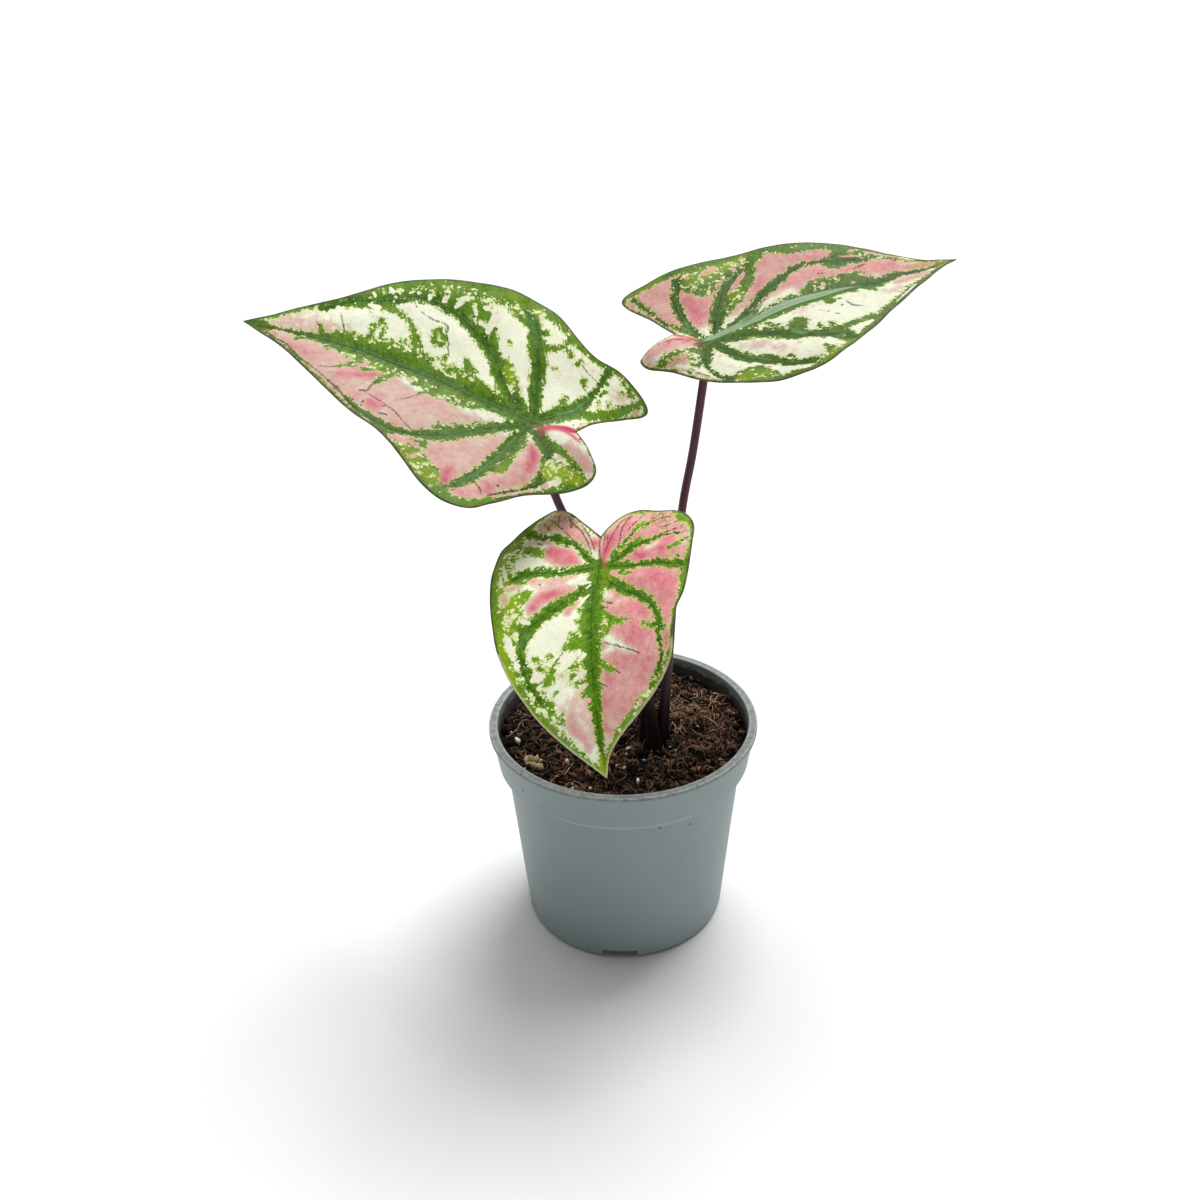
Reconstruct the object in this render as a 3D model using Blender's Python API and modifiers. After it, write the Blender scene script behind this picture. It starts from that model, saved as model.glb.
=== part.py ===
"""A young caladium in its nursery pot: three heart-shaped leaves on long stalks, a tuber in potting soil.

Metres, +Z up. The origin is the centre of the pot's underside and the viewer stands on the -Y side.
Sizes are written in millimetres times MM. A blade's own coordinates are s, from the stalk towards the
tip, and t, across the blade, positive to the left of someone who looks from the stalk to the tip.
"""

import math

import bmesh
import bpy
import numpy as np

MM = 0.001

# Pot: injection-moulded, 60 mm across the rim
POT_HEIGHT = 50.6 * MM
RIM_RADIUS = 30.0 * MM
RIM_INSIDE = 28.0 * MM
COLLAR_TOP = 29.4 * MM
COLLAR_BOTTOM = 28.35 * MM
COLLAR_HEIGHT = 9.1 * MM
BODY_TOP = 26.6 * MM
FOOT_RADIUS = 23.1 * MM
WALL = 0.8 * MM
FLOOR = 1.0 * MM
POT_STEPS = 56
DRAIN_COUNT = 3
DRAIN_WIDTH = 8.0 * MM
DRAIN_RISE = 1.9 * MM
DRAIN_INNER = 16.0 * MM
DRAIN_TURN = math.radians(-92.0)

# Fits: pieces that touch keep this gap
GAP = 0.3 * MM

# Soil and what grows in it
SOIL_LEVEL = 47.6 * MM
SOIL_RELIEF = 0.7 * MM
SOIL_STEPS = 40
CROWN = (7.0 * MM, -4.6 * MM)
STEM_HOLE = 4.0 * MM
TUBER_RADIUS = 8.0 * MM
TUBER_HALF_HEIGHT = 6.0 * MM
TUBER_LEVEL = 29.0 * MM

# Blade: one leaf skin with ribs on its underside
BLADE = 0.7 * MM
MIDRIB = 1.0 * MM
SIDE_RIB = 0.45 * MM
QUILT = 0.35 * MM
FOLD_SOFT = 3.0 * MM
RIPPLE_REACH = 20.0 * MM
SINUS_BACK = 9.0 * MM
SINUS_SPREAD = 5.0 * MM
VEIN_ROOTS = (1.0, 0.83, 0.66, 0.50, 0.35, 0.21, 0.09, 0.0, 0.0, 0.0, 0.0)
VEIN_ENDS = (0.0, 0.05, 0.12, 0.21, 0.31, 0.41, 0.51, 0.64, 0.77, 0.89, 1.0)
VEIN_BOWS = (0.09, 0.09, 0.09, 0.09, 0.09, 0.09, 0.04, 0.0, 0.0, 0.0, 0.0)
COLUMNS_PER_VEIN = 3
ROWS = 6

STALK_RADIUS = 0.85 * MM
SHEATH_RADIUS = 1.45 * MM
SHEATH_LENGTH = 24.0 * MM
STALK_POINTS = 16

# Each leaf: where the stalk meets the blade, how the blade is turned and bent, its edge from the tip to
# the sinus on either side, and the points that its stalk passes, all in millimetres and degrees
LEAVES = {
    "left": {
        "joint": (-16.3, -4.0, 121.0),
        "heading": 180,
        "rise": 30,
        "roll": -31,
        "fold": 14,
        "bend_ahead": 0.008,
        "bend_behind": 0.004,
        "camber": 0.0014,
        "ripple": (0.5, 26.0, 0.6, 2.2),
        "sinus_lift": 2.6,
        "tip": (59.5, 0),
        "sinus": (-7.5, -1.5),
        "left_edge": [
            (49.3, 5), (39.5, 11.4), (31.2, 17), (25.5, 19.1), (20, 22.5), (14.7, 26.8), (9.6, 29.5),
            (5.5, 28.9), (2, 25), (-3, 18.7), (-9, 13.7), (-13.2, 8.6), (-14, 4), (-11.3, 1.2),
        ],
        "right_edge": [
            (51.5, -5), (43.5, -10.2), (35.5, -17.3), (28.5, -20.7), (21, -23.2), (13.5, -26), (5.7, -25.2),
            (-0.7, -21.6), (-5.5, -19.9), (-10.8, -20.4), (-15, -19.2), (-19, -16.5), (-19.1, -14.1),
            (-15.5, -10.9), (-10.5, -6.2),
        ],
        "stalk": [(5.3, -3.6, 48), (3.8, -4.2, 68.2), (-4.3, -4.3, 87.4), (-12.6, -4.2, 105.3)],
    },
    "right": {
        "joint": (17.4, 2.0, 135.2),
        "heading": 17,
        "rise": 21,
        "roll": 14,
        "fold": 11,
        "bend_ahead": 0.0055,
        "bend_behind": 0.004,
        "camber": 0.0014,
        "ripple": (0.5, 23.0, 1.0, 3.0),
        "sinus_lift": 3.4,
        "tip": (54.6, 0.6),
        "sinus": (-4.8, 5.2),
        "left_edge": [
            (51, 1.4), (47.2, 2.8), (41.5, 7.4), (35.7, 13), (30, 16.2), (21, 19.2), (12, 22), (4.6, 22.7),
            (-3.2, 23.3), (-7.8, 23.6), (-9.5, 22.2), (-9, 18.8), (-6.7, 13),
        ],
        "right_edge": [
            (51.6, -0.7), (48, -2.8), (44.4, -5.3), (40, -8.2), (35.7, -11.2), (30, -14.8), (24.2, -18.7),
            (15, -23.7), (8.7, -23), (2.5, -20.7), (-2.4, -16.7), (-6.3, -11), (-9.3, -6.3), (-12.7, -2.3),
            (-13.5, 1.5), (-12, 2.8), (-9, 3.6),
        ],
        "stalk": [(8.6, -3.8, 48), (10.1, -3.3, 68.4), (10.8, -2.7, 81.8), (12.4, -1.5, 101.7), (14.6, -0.3, 115.3)],
    },
    "front": {
        "joint": (-3.4, -26.0, 101.7),
        "heading": -95,
        "rise": -24,
        "roll": 19,
        "fold": 12,
        "bend_ahead": 0.017,
        "bend_behind": 0.004,
        "camber": 0.0012,
        "ripple": (0.45, 21.0, 2.0, 0.2),
        "sinus_lift": 1.6,
        "tip": (40.3, 0),
        "sinus": (-6, 0.1),
        "left_edge": [
            (37, 1), (33.8, 3.4), (30.7, 7.1), (27.4, 10.9), (24, 13.9), (21, 15.6), (17, 16.1), (13, 16.8),
            (9.9, 18.2), (5.5, 19.2), (1, 19.8), (-2.3, 20), (-5.7, 18.3), (-8.1, 15.4), (-9.6, 11.3),
            (-10.8, 7.7), (-10.1, 4.4), (-7.8, 1.7),
        ],
        "right_edge": [
            (37.4, -3.1), (33.8, -6.9), (29.4, -10.9), (24.9, -14), (20.7, -16.6), (15.1, -19), (8.2, -20.2),
            (0.2, -21), (-5.2, -20.6), (-8.5, -18.2), (-11.5, -15.5), (-13.7, -12.8), (-15, -10.2),
            (-13.6, -7.2), (-10.2, -3.9),
        ],
        "stalk": [(6.8, -6.7, 48), (5.6, -8.6, 62), (3.7, -12.4, 77), (0.4, -19.0, 91)],
    },
}

COLOURS = {
    "pot": ((0.235, 0.275, 0.268), 0.55),
    "soil": ((0.035, 0.020, 0.012), 0.95),
    "tuber": ((0.120, 0.062, 0.030), 0.85),
    "stalk": ((0.050, 0.012, 0.022), 0.42),
    "blade": ((0.150, 0.260, 0.060), 0.40),
}


def clear_scene():
    for obj in list(bpy.data.objects):
        bpy.data.objects.remove(obj, do_unlink=True)


def new_collection(name):
    found = bpy.data.collections.new(name)
    bpy.context.scene.collection.children.link(found)
    return found


def make_material(name):
    colour, roughness = COLOURS[name]
    material = bpy.data.materials.new(name)
    material.use_nodes = True
    shader = material.node_tree.nodes["Principled BSDF"]
    shader.inputs["Base Color"].default_value = (*colour, 1.0)
    shader.inputs["Roughness"].default_value = roughness
    shader.inputs["Metallic"].default_value = 0.0
    return material


def add_object(name, data, collection, material=None):
    obj = bpy.data.objects.new(name, data)
    collection.objects.link(obj)
    if material:
        data.materials.append(material)
    return obj


def mesh_from(bm, name):
    mesh = bpy.data.meshes.new(name)
    bmesh.ops.recalc_face_normals(bm, faces=bm.faces)
    bm.to_mesh(mesh)
    bm.free()
    return mesh


def shade_round(obj, angle=math.radians(35)):
    obj.data.shade_smooth()
    obj.data.set_sharp_from_angle(angle=angle)


def cut(obj, cutter):
    """Take the cutter's volume out of the object; the cutter stays as a hidden wire."""
    cutter.hide_render = True
    cutter.display_type = "WIRE"
    modifier = obj.modifiers.new(f"cut {cutter.name}", "BOOLEAN")
    modifier.operation = "DIFFERENCE"
    modifier.solver = "EXACT"
    modifier.object = cutter


def smooth_curve(points, per_span=16):
    """Points along a Catmull-Rom curve that runs through every given point."""
    points = np.asarray(points, float)
    before = 2 * points[0] - points[1]
    after = 2 * points[-1] - points[-2]
    padded = np.vstack([before, points, after])
    step = np.linspace(0, 1, per_span, endpoint=False)[:, None]
    spans = []
    for i in range(len(points) - 1):
        a, b, c, d = padded[i : i + 4]
        spans.append(
            0.5 * (2 * b + (c - a) * step + (2 * a - 5 * b + 4 * c - d) * step**2 + (3 * b - a - 3 * c + d) * step**3)
        )
    return np.vstack([*spans, points[-1:]])


def along(curve, fractions):
    """Points of a curve at the given fractions of its length."""
    lengths = np.concatenate([[0.0], np.cumsum(np.linalg.norm(np.diff(curve, axis=0), axis=1))])
    wanted = np.asarray(fractions) * lengths[-1]
    return np.stack([np.interp(wanted, lengths, curve[:, i]) for i in range(curve.shape[1])], axis=-1)


def blade_axes(leaf):
    """Unit vectors of a blade where it meets its stalk: towards the tip, to the left, and out of its face."""
    heading, rise, roll = (math.radians(leaf[key]) for key in ("heading", "rise", "roll"))
    ahead = np.array([math.cos(heading) * math.cos(rise), math.sin(heading) * math.cos(rise), math.sin(rise)])
    level = np.cross([0, 0, 1], ahead)
    level /= np.linalg.norm(level)
    across = math.cos(roll) * level + math.sin(roll) * np.cross(ahead, level)
    return ahead, across, np.cross(ahead, across)


def blade_surface(leaf, s, t):
    """Middle surface of a blade: an arched midrib, two halves folded up from it, a rippled edge, and a
    raised sinus where the two lobes meet."""
    ahead, across, out = blade_axes(leaf)
    fold = math.radians(leaf["fold"])
    bend = np.where(s > 0, leaf["bend_ahead"], leaf["bend_behind"]) / MM
    height, length, left_phase, right_phase = leaf["ripple"]
    phase = np.where(t > 0, left_phase, right_phase)
    ripple = height * MM * (t / RIPPLE_REACH) ** 2 * np.sin(2 * np.pi * s / (length * MM) + phase)
    folded = math.sin(fold) * (np.hypot(t, FOLD_SOFT) - FOLD_SOFT)
    cambered = leaf["camber"] / MM * t**2
    raised = leaf["sinus_lift"] * MM * np.exp(-((s + SINUS_BACK) ** 2 + t**2) / (2 * SINUS_SPREAD**2))
    lift = folded - cambered + ripple + raised
    turn = bend * s
    forward = np.sin(turn) / bend + np.sin(turn) * lift
    upward = (np.cos(turn) - 1) / bend + np.cos(turn) * lift
    joint = np.array(leaf["joint"]) * MM
    return joint + forward[..., None] * ahead + (t * math.cos(fold))[..., None] * across + upward[..., None] * out


def blade_normal(leaf, s, t):
    reach = 0.05 * MM
    along_s = blade_surface(leaf, s + reach, t) - blade_surface(leaf, s - reach, t)
    along_t = blade_surface(leaf, s, t + reach) - blade_surface(leaf, s, t - reach)
    normal = np.cross(along_s, along_t)
    return normal / np.linalg.norm(normal, axis=-1, keepdims=True)


def half_grid(leaf, side):
    """Grid of (s, t) over one half of a blade, with a column along every side vein from midrib to edge."""
    edge = smooth_curve([leaf["tip"], *leaf[f"{side}_edge"], leaf["sinus"]]) * MM
    veins = np.arange(len(VEIN_ROOTS))
    columns = np.linspace(0, len(VEIN_ROOTS) - 1, (len(VEIN_ROOTS) - 1) * COLUMNS_PER_VEIN + 1)
    root = np.zeros((len(columns), 2))
    root[:, 0] = np.interp(columns, veins, VEIN_ROOTS) * leaf["tip"][0] * MM
    root[:, 1] = np.interp(columns, veins, VEIN_ROOTS) * leaf["tip"][1] * MM
    end = along(edge, np.interp(columns, veins, VEIN_ENDS))
    middle = (root + end) / 2
    middle[:, 0] -= np.interp(columns, veins, VEIN_BOWS) * np.linalg.norm(end - root, axis=1)
    row = np.linspace(0, 1, ROWS + 1)[None, :, None]
    grid = root[:, None] * (1 - row) ** 2 + 2 * middle[:, None] * row * (1 - row) + end[:, None] * row**2
    return grid, columns, row[0, :, 0]


def half_faces(leaf, side):
    """Upper and lower points of one half of a blade, as two grids."""
    grid, columns, row = half_grid(leaf, side)
    s, t = grid[..., 0], grid[..., 1]
    between = np.sin(np.pi * columns) ** 2
    quilt = QUILT * between[:, None] * np.sin(np.pi * row)[None, :]
    on_vein = (np.arange(len(columns)) % COLUMNS_PER_VEIN == 0).astype(float)
    rib = SIDE_RIB * on_vein[:, None] * (1 - 0.9 * row)[None, :]
    tip_s = leaf["tip"][0] * MM
    rib[:, 0] = MIDRIB * (1 - 0.85 * np.clip(s[:, 0] / tip_s, 0, 1))
    rib[-1, 1:] = 0.0
    centre = blade_surface(leaf, s, t) + quilt[..., None] * blade_normal(leaf, s, t)
    normal = blade_normal(leaf, s, t)
    upper = centre + normal * (BLADE / 2)
    lower = centre - normal * (BLADE / 2 + rib)[..., None]
    return upper, lower


def add_grid(bm, points):
    return [[bm.verts.new(point) for point in column] for column in points]


def add_triangles(bm, a, b, c, d):
    """Two triangles over a four-sided cell, split the same way whichever face of the blade it is on."""
    bm.faces.new((a, b, c))
    bm.faces.new((a, c, d))


def make_blade(name, leaf, collection, material):
    bm = bmesh.new()
    for side in ("left", "right"):
        upper, lower = (add_grid(bm, points) for points in half_faces(leaf, side))
        for i in range(len(upper) - 1):
            for j in range(ROWS):
                for sheet in (upper, lower):
                    add_triangles(bm, sheet[i][j], sheet[i + 1][j], sheet[i + 1][j + 1], sheet[i][j + 1])
            add_triangles(bm, upper[i][ROWS], upper[i + 1][ROWS], lower[i + 1][ROWS], lower[i][ROWS])
    bmesh.ops.remove_doubles(bm, verts=bm.verts, dist=0.001 * MM)
    flat = [face for face in bm.faces if face.calc_area() < (0.01 * MM) ** 2]
    bmesh.ops.delete(bm, geom=flat, context="FACES_ONLY")
    blade = add_object(name, mesh_from(bm, name), collection, material)
    shade_round(blade, math.radians(60))
    return blade


def make_stalk(name, leaf, collection, material):
    """A leaf stalk: it rises from the tuber, is widened by its sheath near the soil, and ends just under
    the blade, as far down as the slant of its end needs."""
    through = [np.array(point) * MM for point in leaf["stalk"]]
    joint_s = np.zeros(1)
    joint = blade_surface(leaf, joint_s, joint_s)[0]
    face = blade_normal(leaf, joint_s, joint_s)[0]
    arrival = (joint - through[-1]) / np.linalg.norm(joint - through[-1])
    slant = math.sqrt(1 - np.dot(arrival, face) ** 2)
    top = joint - face * (BLADE / 2 + MIDRIB + GAP + STALK_RADIUS * slant)
    foot = through[0].copy()
    spread = math.dist(foot[:2], CROWN) / TUBER_RADIUS
    foot[2] = TUBER_LEVEL + TUBER_HALF_HEIGHT * math.sqrt(1 - spread**2) + 1.5 * GAP
    route = smooth_curve([foot, *through, top])
    points = along(route, np.linspace(0, 1, STALK_POINTS))
    curve = bpy.data.curves.new(name, "CURVE")
    curve.dimensions = "3D"
    curve.bevel_depth = 1.0
    curve.bevel_resolution = 2
    curve.use_fill_caps = True
    spline = curve.splines.new("POLY")
    spline.points.add(len(points) - 1)
    spline.use_smooth = True
    for place, point in zip(spline.points, points):
        place.co = (*point, 1.0)
        above = np.clip((point[2] - SOIL_LEVEL) / SHEATH_LENGTH, 0, 1)
        place.radius = SHEATH_RADIUS + (STALK_RADIUS - SHEATH_RADIUS) * above * (2 - above)
    return add_object(name, curve, collection, material)


def inside_profile():
    """Height and radius of each corner of the pot's inside, from the floor up to the rim."""
    step = POT_HEIGHT - COLLAR_HEIGHT
    return [
        (FLOOR, FOOT_RADIUS - WALL),
        (step - WALL, BODY_TOP - WALL),
        (step + 0.6 * MM, COLLAR_BOTTOM - WALL),
        (POT_HEIGHT - 1.0 * MM, RIM_INSIDE),
    ]


def inner_wall(level):
    """Inside radius of the pot at a height above its underside."""
    heights, radii = zip(*inside_profile())
    return float(np.interp(level, heights, radii))


def pot_profile():
    """Half section of the pot from the floor's centre up the inside, over the rim and down the outside."""
    step = POT_HEIGHT - COLLAR_HEIGHT
    round_inner = [(POT_HEIGHT - 0.3 * MM, RIM_INSIDE), (POT_HEIGHT, RIM_INSIDE + 0.3 * MM)]
    round_outer = [
        (POT_HEIGHT, RIM_RADIUS - 0.5 * MM),
        (POT_HEIGHT - 0.2 * MM, RIM_RADIUS - 0.1 * MM),
        (POT_HEIGHT - 0.6 * MM, RIM_RADIUS),
        (POT_HEIGHT - 1.2 * MM, COLLAR_TOP),
    ]
    collar = [
        (step + 0.5 * MM, COLLAR_BOTTOM),
        (step + 0.1 * MM, COLLAR_BOTTOM - 0.2 * MM),
        (step - 0.15 * MM, COLLAR_BOTTOM - 0.7 * MM),
        (step - 0.4 * MM, BODY_TOP),
    ]
    foot = [(0.9 * MM, FOOT_RADIUS + 0.05 * MM), (0.3 * MM, FOOT_RADIUS - 0.15 * MM), (0.0, FOOT_RADIUS - 0.6 * MM)]
    profile = [(FLOOR, 0.0), *inside_profile(), *round_inner, *round_outer, *collar, *foot, (0.0, 0.0)]
    return [(radius, 0.0, level) for level, radius in profile]


def profile_mesh(points, name):
    mesh = bpy.data.meshes.new(name)
    mesh.from_pydata(points, [(i, i + 1) for i in range(len(points) - 1)], [])
    return mesh


def turn_profile(obj, steps):
    screw = obj.modifiers.new("turn", "SCREW")
    screw.axis = "Z"
    screw.angle = 2 * math.pi
    screw.steps = steps
    screw.render_steps = steps
    screw.use_merge_vertices = True
    screw.merge_threshold = 0.00005


def make_pot(collection, cutters, material):
    pot = add_object("pot", profile_mesh(pot_profile(), "pot"), collection, material)
    turn_profile(pot, POT_STEPS)
    reach = FOOT_RADIUS + 3 * MM - DRAIN_INNER
    for number in range(DRAIN_COUNT):
        angle = DRAIN_TURN + number * 2 * math.pi / DRAIN_COUNT
        middle = DRAIN_INNER + reach / 2
        bpy.ops.mesh.primitive_cube_add(
            size=1,
            location=(middle * math.cos(angle), middle * math.sin(angle), 0.0),
            rotation=(0, 0, angle),
            scale=(reach, DRAIN_WIDTH, 2 * DRAIN_RISE),
        )
        drain = bpy.context.object
        drain.name = f"drain_cutter_{number + 1}"
        for holder in list(drain.users_collection):
            holder.objects.unlink(drain)
        cutters.objects.link(drain)
        cut(pot, drain)
    return pot


def soil_relief(x, y):
    """Height of the loose surface over its level: a few broad heaps and finer crumbs, none at the wall."""
    broad = math.sin(0.21 * x / MM + 1.0) * math.cos(0.17 * y / MM - 0.4)
    fine = math.sin(0.83 * x / MM + 0.9 * math.sin(0.31 * y / MM)) * math.sin(0.71 * y / MM + 1.9)
    calm = 1 - (math.hypot(x, y) / RIM_INSIDE) ** 4
    return SOIL_RELIEF * calm * (0.7 * broad + 0.6 * fine)


def make_soil(collection, cutters, material):
    """Soil that fills the pot, with a plain hole round the stalks that opens into the tuber's hollow."""
    top_rings = [0.0, 0.2, 0.4, 0.6, 0.8]
    rim = inner_wall(SOIL_LEVEL) - GAP
    below = [(level + GAP, radius - GAP) for level, radius in inside_profile() if level < SOIL_LEVEL]
    wall = [(SOIL_LEVEL, rim), *reversed(below), (FLOOR + GAP, 0.0)]
    profile = [(ring * rim, 0.0, SOIL_LEVEL) for ring in top_rings] + [(radius, 0.0, level) for level, radius in wall]
    bm = bmesh.new()
    corners = [bm.verts.new(point) for point in profile]
    edges = [bm.edges.new(pair) for pair in zip(corners, corners[1:])]
    bmesh.ops.spin(
        bm,
        geom=[*corners, *edges],
        cent=(0, 0, 0),
        axis=(0, 0, 1),
        angle=2 * math.pi,
        steps=SOIL_STEPS,
        use_duplicate=False,
    )
    bmesh.ops.remove_doubles(bm, verts=bm.verts, dist=0.01 * MM)
    for vertex in bm.verts:
        if vertex.co.z > SOIL_LEVEL - 0.01 * MM:
            vertex.co.z += soil_relief(vertex.co.x, vertex.co.y)
    bmesh.ops.triangulate(bm, faces=bm.faces)
    soil = add_object("soil", mesh_from(bm, "soil"), collection, material)

    bm = bmesh.new()
    bmesh.ops.create_uvsphere(bm, u_segments=20, v_segments=12, radius=1.0)
    hollow = (TUBER_RADIUS + 2 * GAP, TUBER_RADIUS + 2 * GAP, TUBER_HALF_HEIGHT + 2 * GAP)
    bmesh.ops.scale(bm, vec=hollow, verts=bm.verts)
    bmesh.ops.translate(bm, vec=(*CROWN, TUBER_LEVEL), verts=bm.verts)
    cut(soil, add_object("tuber_hollow_cutter", mesh_from(bm, "tuber_hollow"), cutters))

    bm = bmesh.new()
    depth = POT_HEIGHT + 5 * MM - TUBER_LEVEL
    bmesh.ops.create_cone(bm, cap_ends=True, segments=20, radius1=STEM_HOLE, radius2=STEM_HOLE, depth=depth)
    bmesh.ops.translate(bm, vec=(*CROWN, TUBER_LEVEL + depth / 2), verts=bm.verts)
    cut(soil, add_object("stem_hole_cutter", mesh_from(bm, "stem_hole"), cutters))
    return soil


def make_tuber(collection, material):
    """The swollen underground stem: a flattened globe with low growth rings."""
    bm = bmesh.new()
    bmesh.ops.create_uvsphere(bm, u_segments=20, v_segments=12, radius=1.0)
    for vertex in bm.verts:
        ring = 1 - 0.03 * (0.5 + 0.5 * math.cos(9 * math.acos(max(-1.0, min(1.0, vertex.co.z)))))
        vertex.co.x *= TUBER_RADIUS * ring
        vertex.co.y *= TUBER_RADIUS * ring
        vertex.co.z *= TUBER_HALF_HEIGHT
    bmesh.ops.translate(bm, vec=(*CROWN, TUBER_LEVEL), verts=bm.verts)
    tuber = add_object("tuber", mesh_from(bm, "tuber"), collection, material)
    shade_round(tuber)
    return tuber


clear_scene()
plant = new_collection("caladium")
helpers = new_collection("cutters")
helpers.hide_render = True
finish = {name: make_material(name) for name in COLOURS}

make_pot(plant, helpers, finish["pot"])
make_soil(plant, helpers, finish["soil"])
make_tuber(plant, finish["tuber"])
for place, shape in LEAVES.items():
    make_blade(f"blade_{place}", shape, plant, finish["blade"])
    make_stalk(f"stalk_{place}", shape, plant, finish["stalk"])
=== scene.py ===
"""A young caladium in its nursery pot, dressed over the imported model: plastic, soil, stalks and leaves.

Lengths are written in millimetres and turned to metres as a mesh is made; the floor and the camera are in
metres. +Z is up, and the photograph looks along +Y from a little above.
"""

import math

import bpy
import numpy as np
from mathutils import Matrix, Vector


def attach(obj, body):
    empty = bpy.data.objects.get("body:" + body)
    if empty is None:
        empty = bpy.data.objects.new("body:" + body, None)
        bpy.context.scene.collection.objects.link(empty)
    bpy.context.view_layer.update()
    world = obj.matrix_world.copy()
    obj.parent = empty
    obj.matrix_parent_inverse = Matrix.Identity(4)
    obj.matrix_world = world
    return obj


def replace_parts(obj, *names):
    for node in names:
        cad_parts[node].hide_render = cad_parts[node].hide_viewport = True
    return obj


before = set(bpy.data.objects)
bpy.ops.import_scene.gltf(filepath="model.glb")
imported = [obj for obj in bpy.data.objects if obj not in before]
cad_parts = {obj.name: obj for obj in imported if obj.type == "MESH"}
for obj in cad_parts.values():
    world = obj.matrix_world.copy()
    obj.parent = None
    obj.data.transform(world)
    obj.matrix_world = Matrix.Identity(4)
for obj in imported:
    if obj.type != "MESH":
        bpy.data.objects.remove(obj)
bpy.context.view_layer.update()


# The pot.
# An injection-moulded polypropylene nursery pot, 60 mm across its rolled lip, with a straight collar and a
# tapered body. Three drain notches are cut through its foot, and crumbs of soil cling inside the collar.

POT_HEIGHT = 50.6
RIM_RADIUS = 30.0
RIM_INSIDE = 28.0
COLLAR_TOP = 29.4
COLLAR_BOTTOM = 28.35
COLLAR_HEIGHT = 9.1
BODY_TOP = 26.6
FOOT_RADIUS = 23.1
WALL = 0.8
FLOOR = 1.0
DRAIN_WIDTH = 8.0
DRAIN_RISE = 2.3
DRAIN_INNER = 16.0
DRAIN_TURN = math.radians(-92.0)


def shade(red, green, blue):
    """A colour as it looks on a screen, 0 to 255 a channel, turned to the light that a shader works in."""
    value = np.array([red, green, blue]) / 255.0
    return tuple(np.where(value <= 0.04045, value / 12.92, ((value + 0.055) / 1.055) ** 2.4).tolist())


class Tone:
    """One output of a finish. Plus, minus, times and the like each add a Math node and give its output."""

    def __init__(self, finish, socket):
        self.finish = finish
        self.socket = socket

    def maths(self, operation, *others):
        """A Math node with this output first and the others after it."""
        return self.finish.node("ShaderNodeMath", {"operation": operation}, dict(enumerate((self, *others))))

    def __add__(self, other):
        return self.maths("ADD", other)

    def __sub__(self, other):
        return self.maths("SUBTRACT", other)

    def __rsub__(self, other):
        return self.maths("MULTIPLY_ADD", -1.0, other)

    def __mul__(self, other):
        return self.maths("MULTIPLY", other)

    def __pow__(self, other):
        return self.maths("POWER", other)

    __radd__ = __add__
    __rmul__ = __mul__

    def rise(self, low, high):
        """0 below low, 1 above high, and a smooth step between them."""
        sockets = {"Value": self, "From Min": low, "From Max": high}
        return self.finish.node("ShaderNodeMapRange", {"interpolation_type": "SMOOTHSTEP"}, sockets)

    def fall(self, low, high):
        """1 below low, 0 above high, and a smooth step between them."""
        return 1.0 - self.rise(low, high)

    def band(self, start, full, fading, end):
        """1 between full and fading, and 0 before start and after end."""
        return self.rise(start, full) * self.fall(fading, end)


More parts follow.
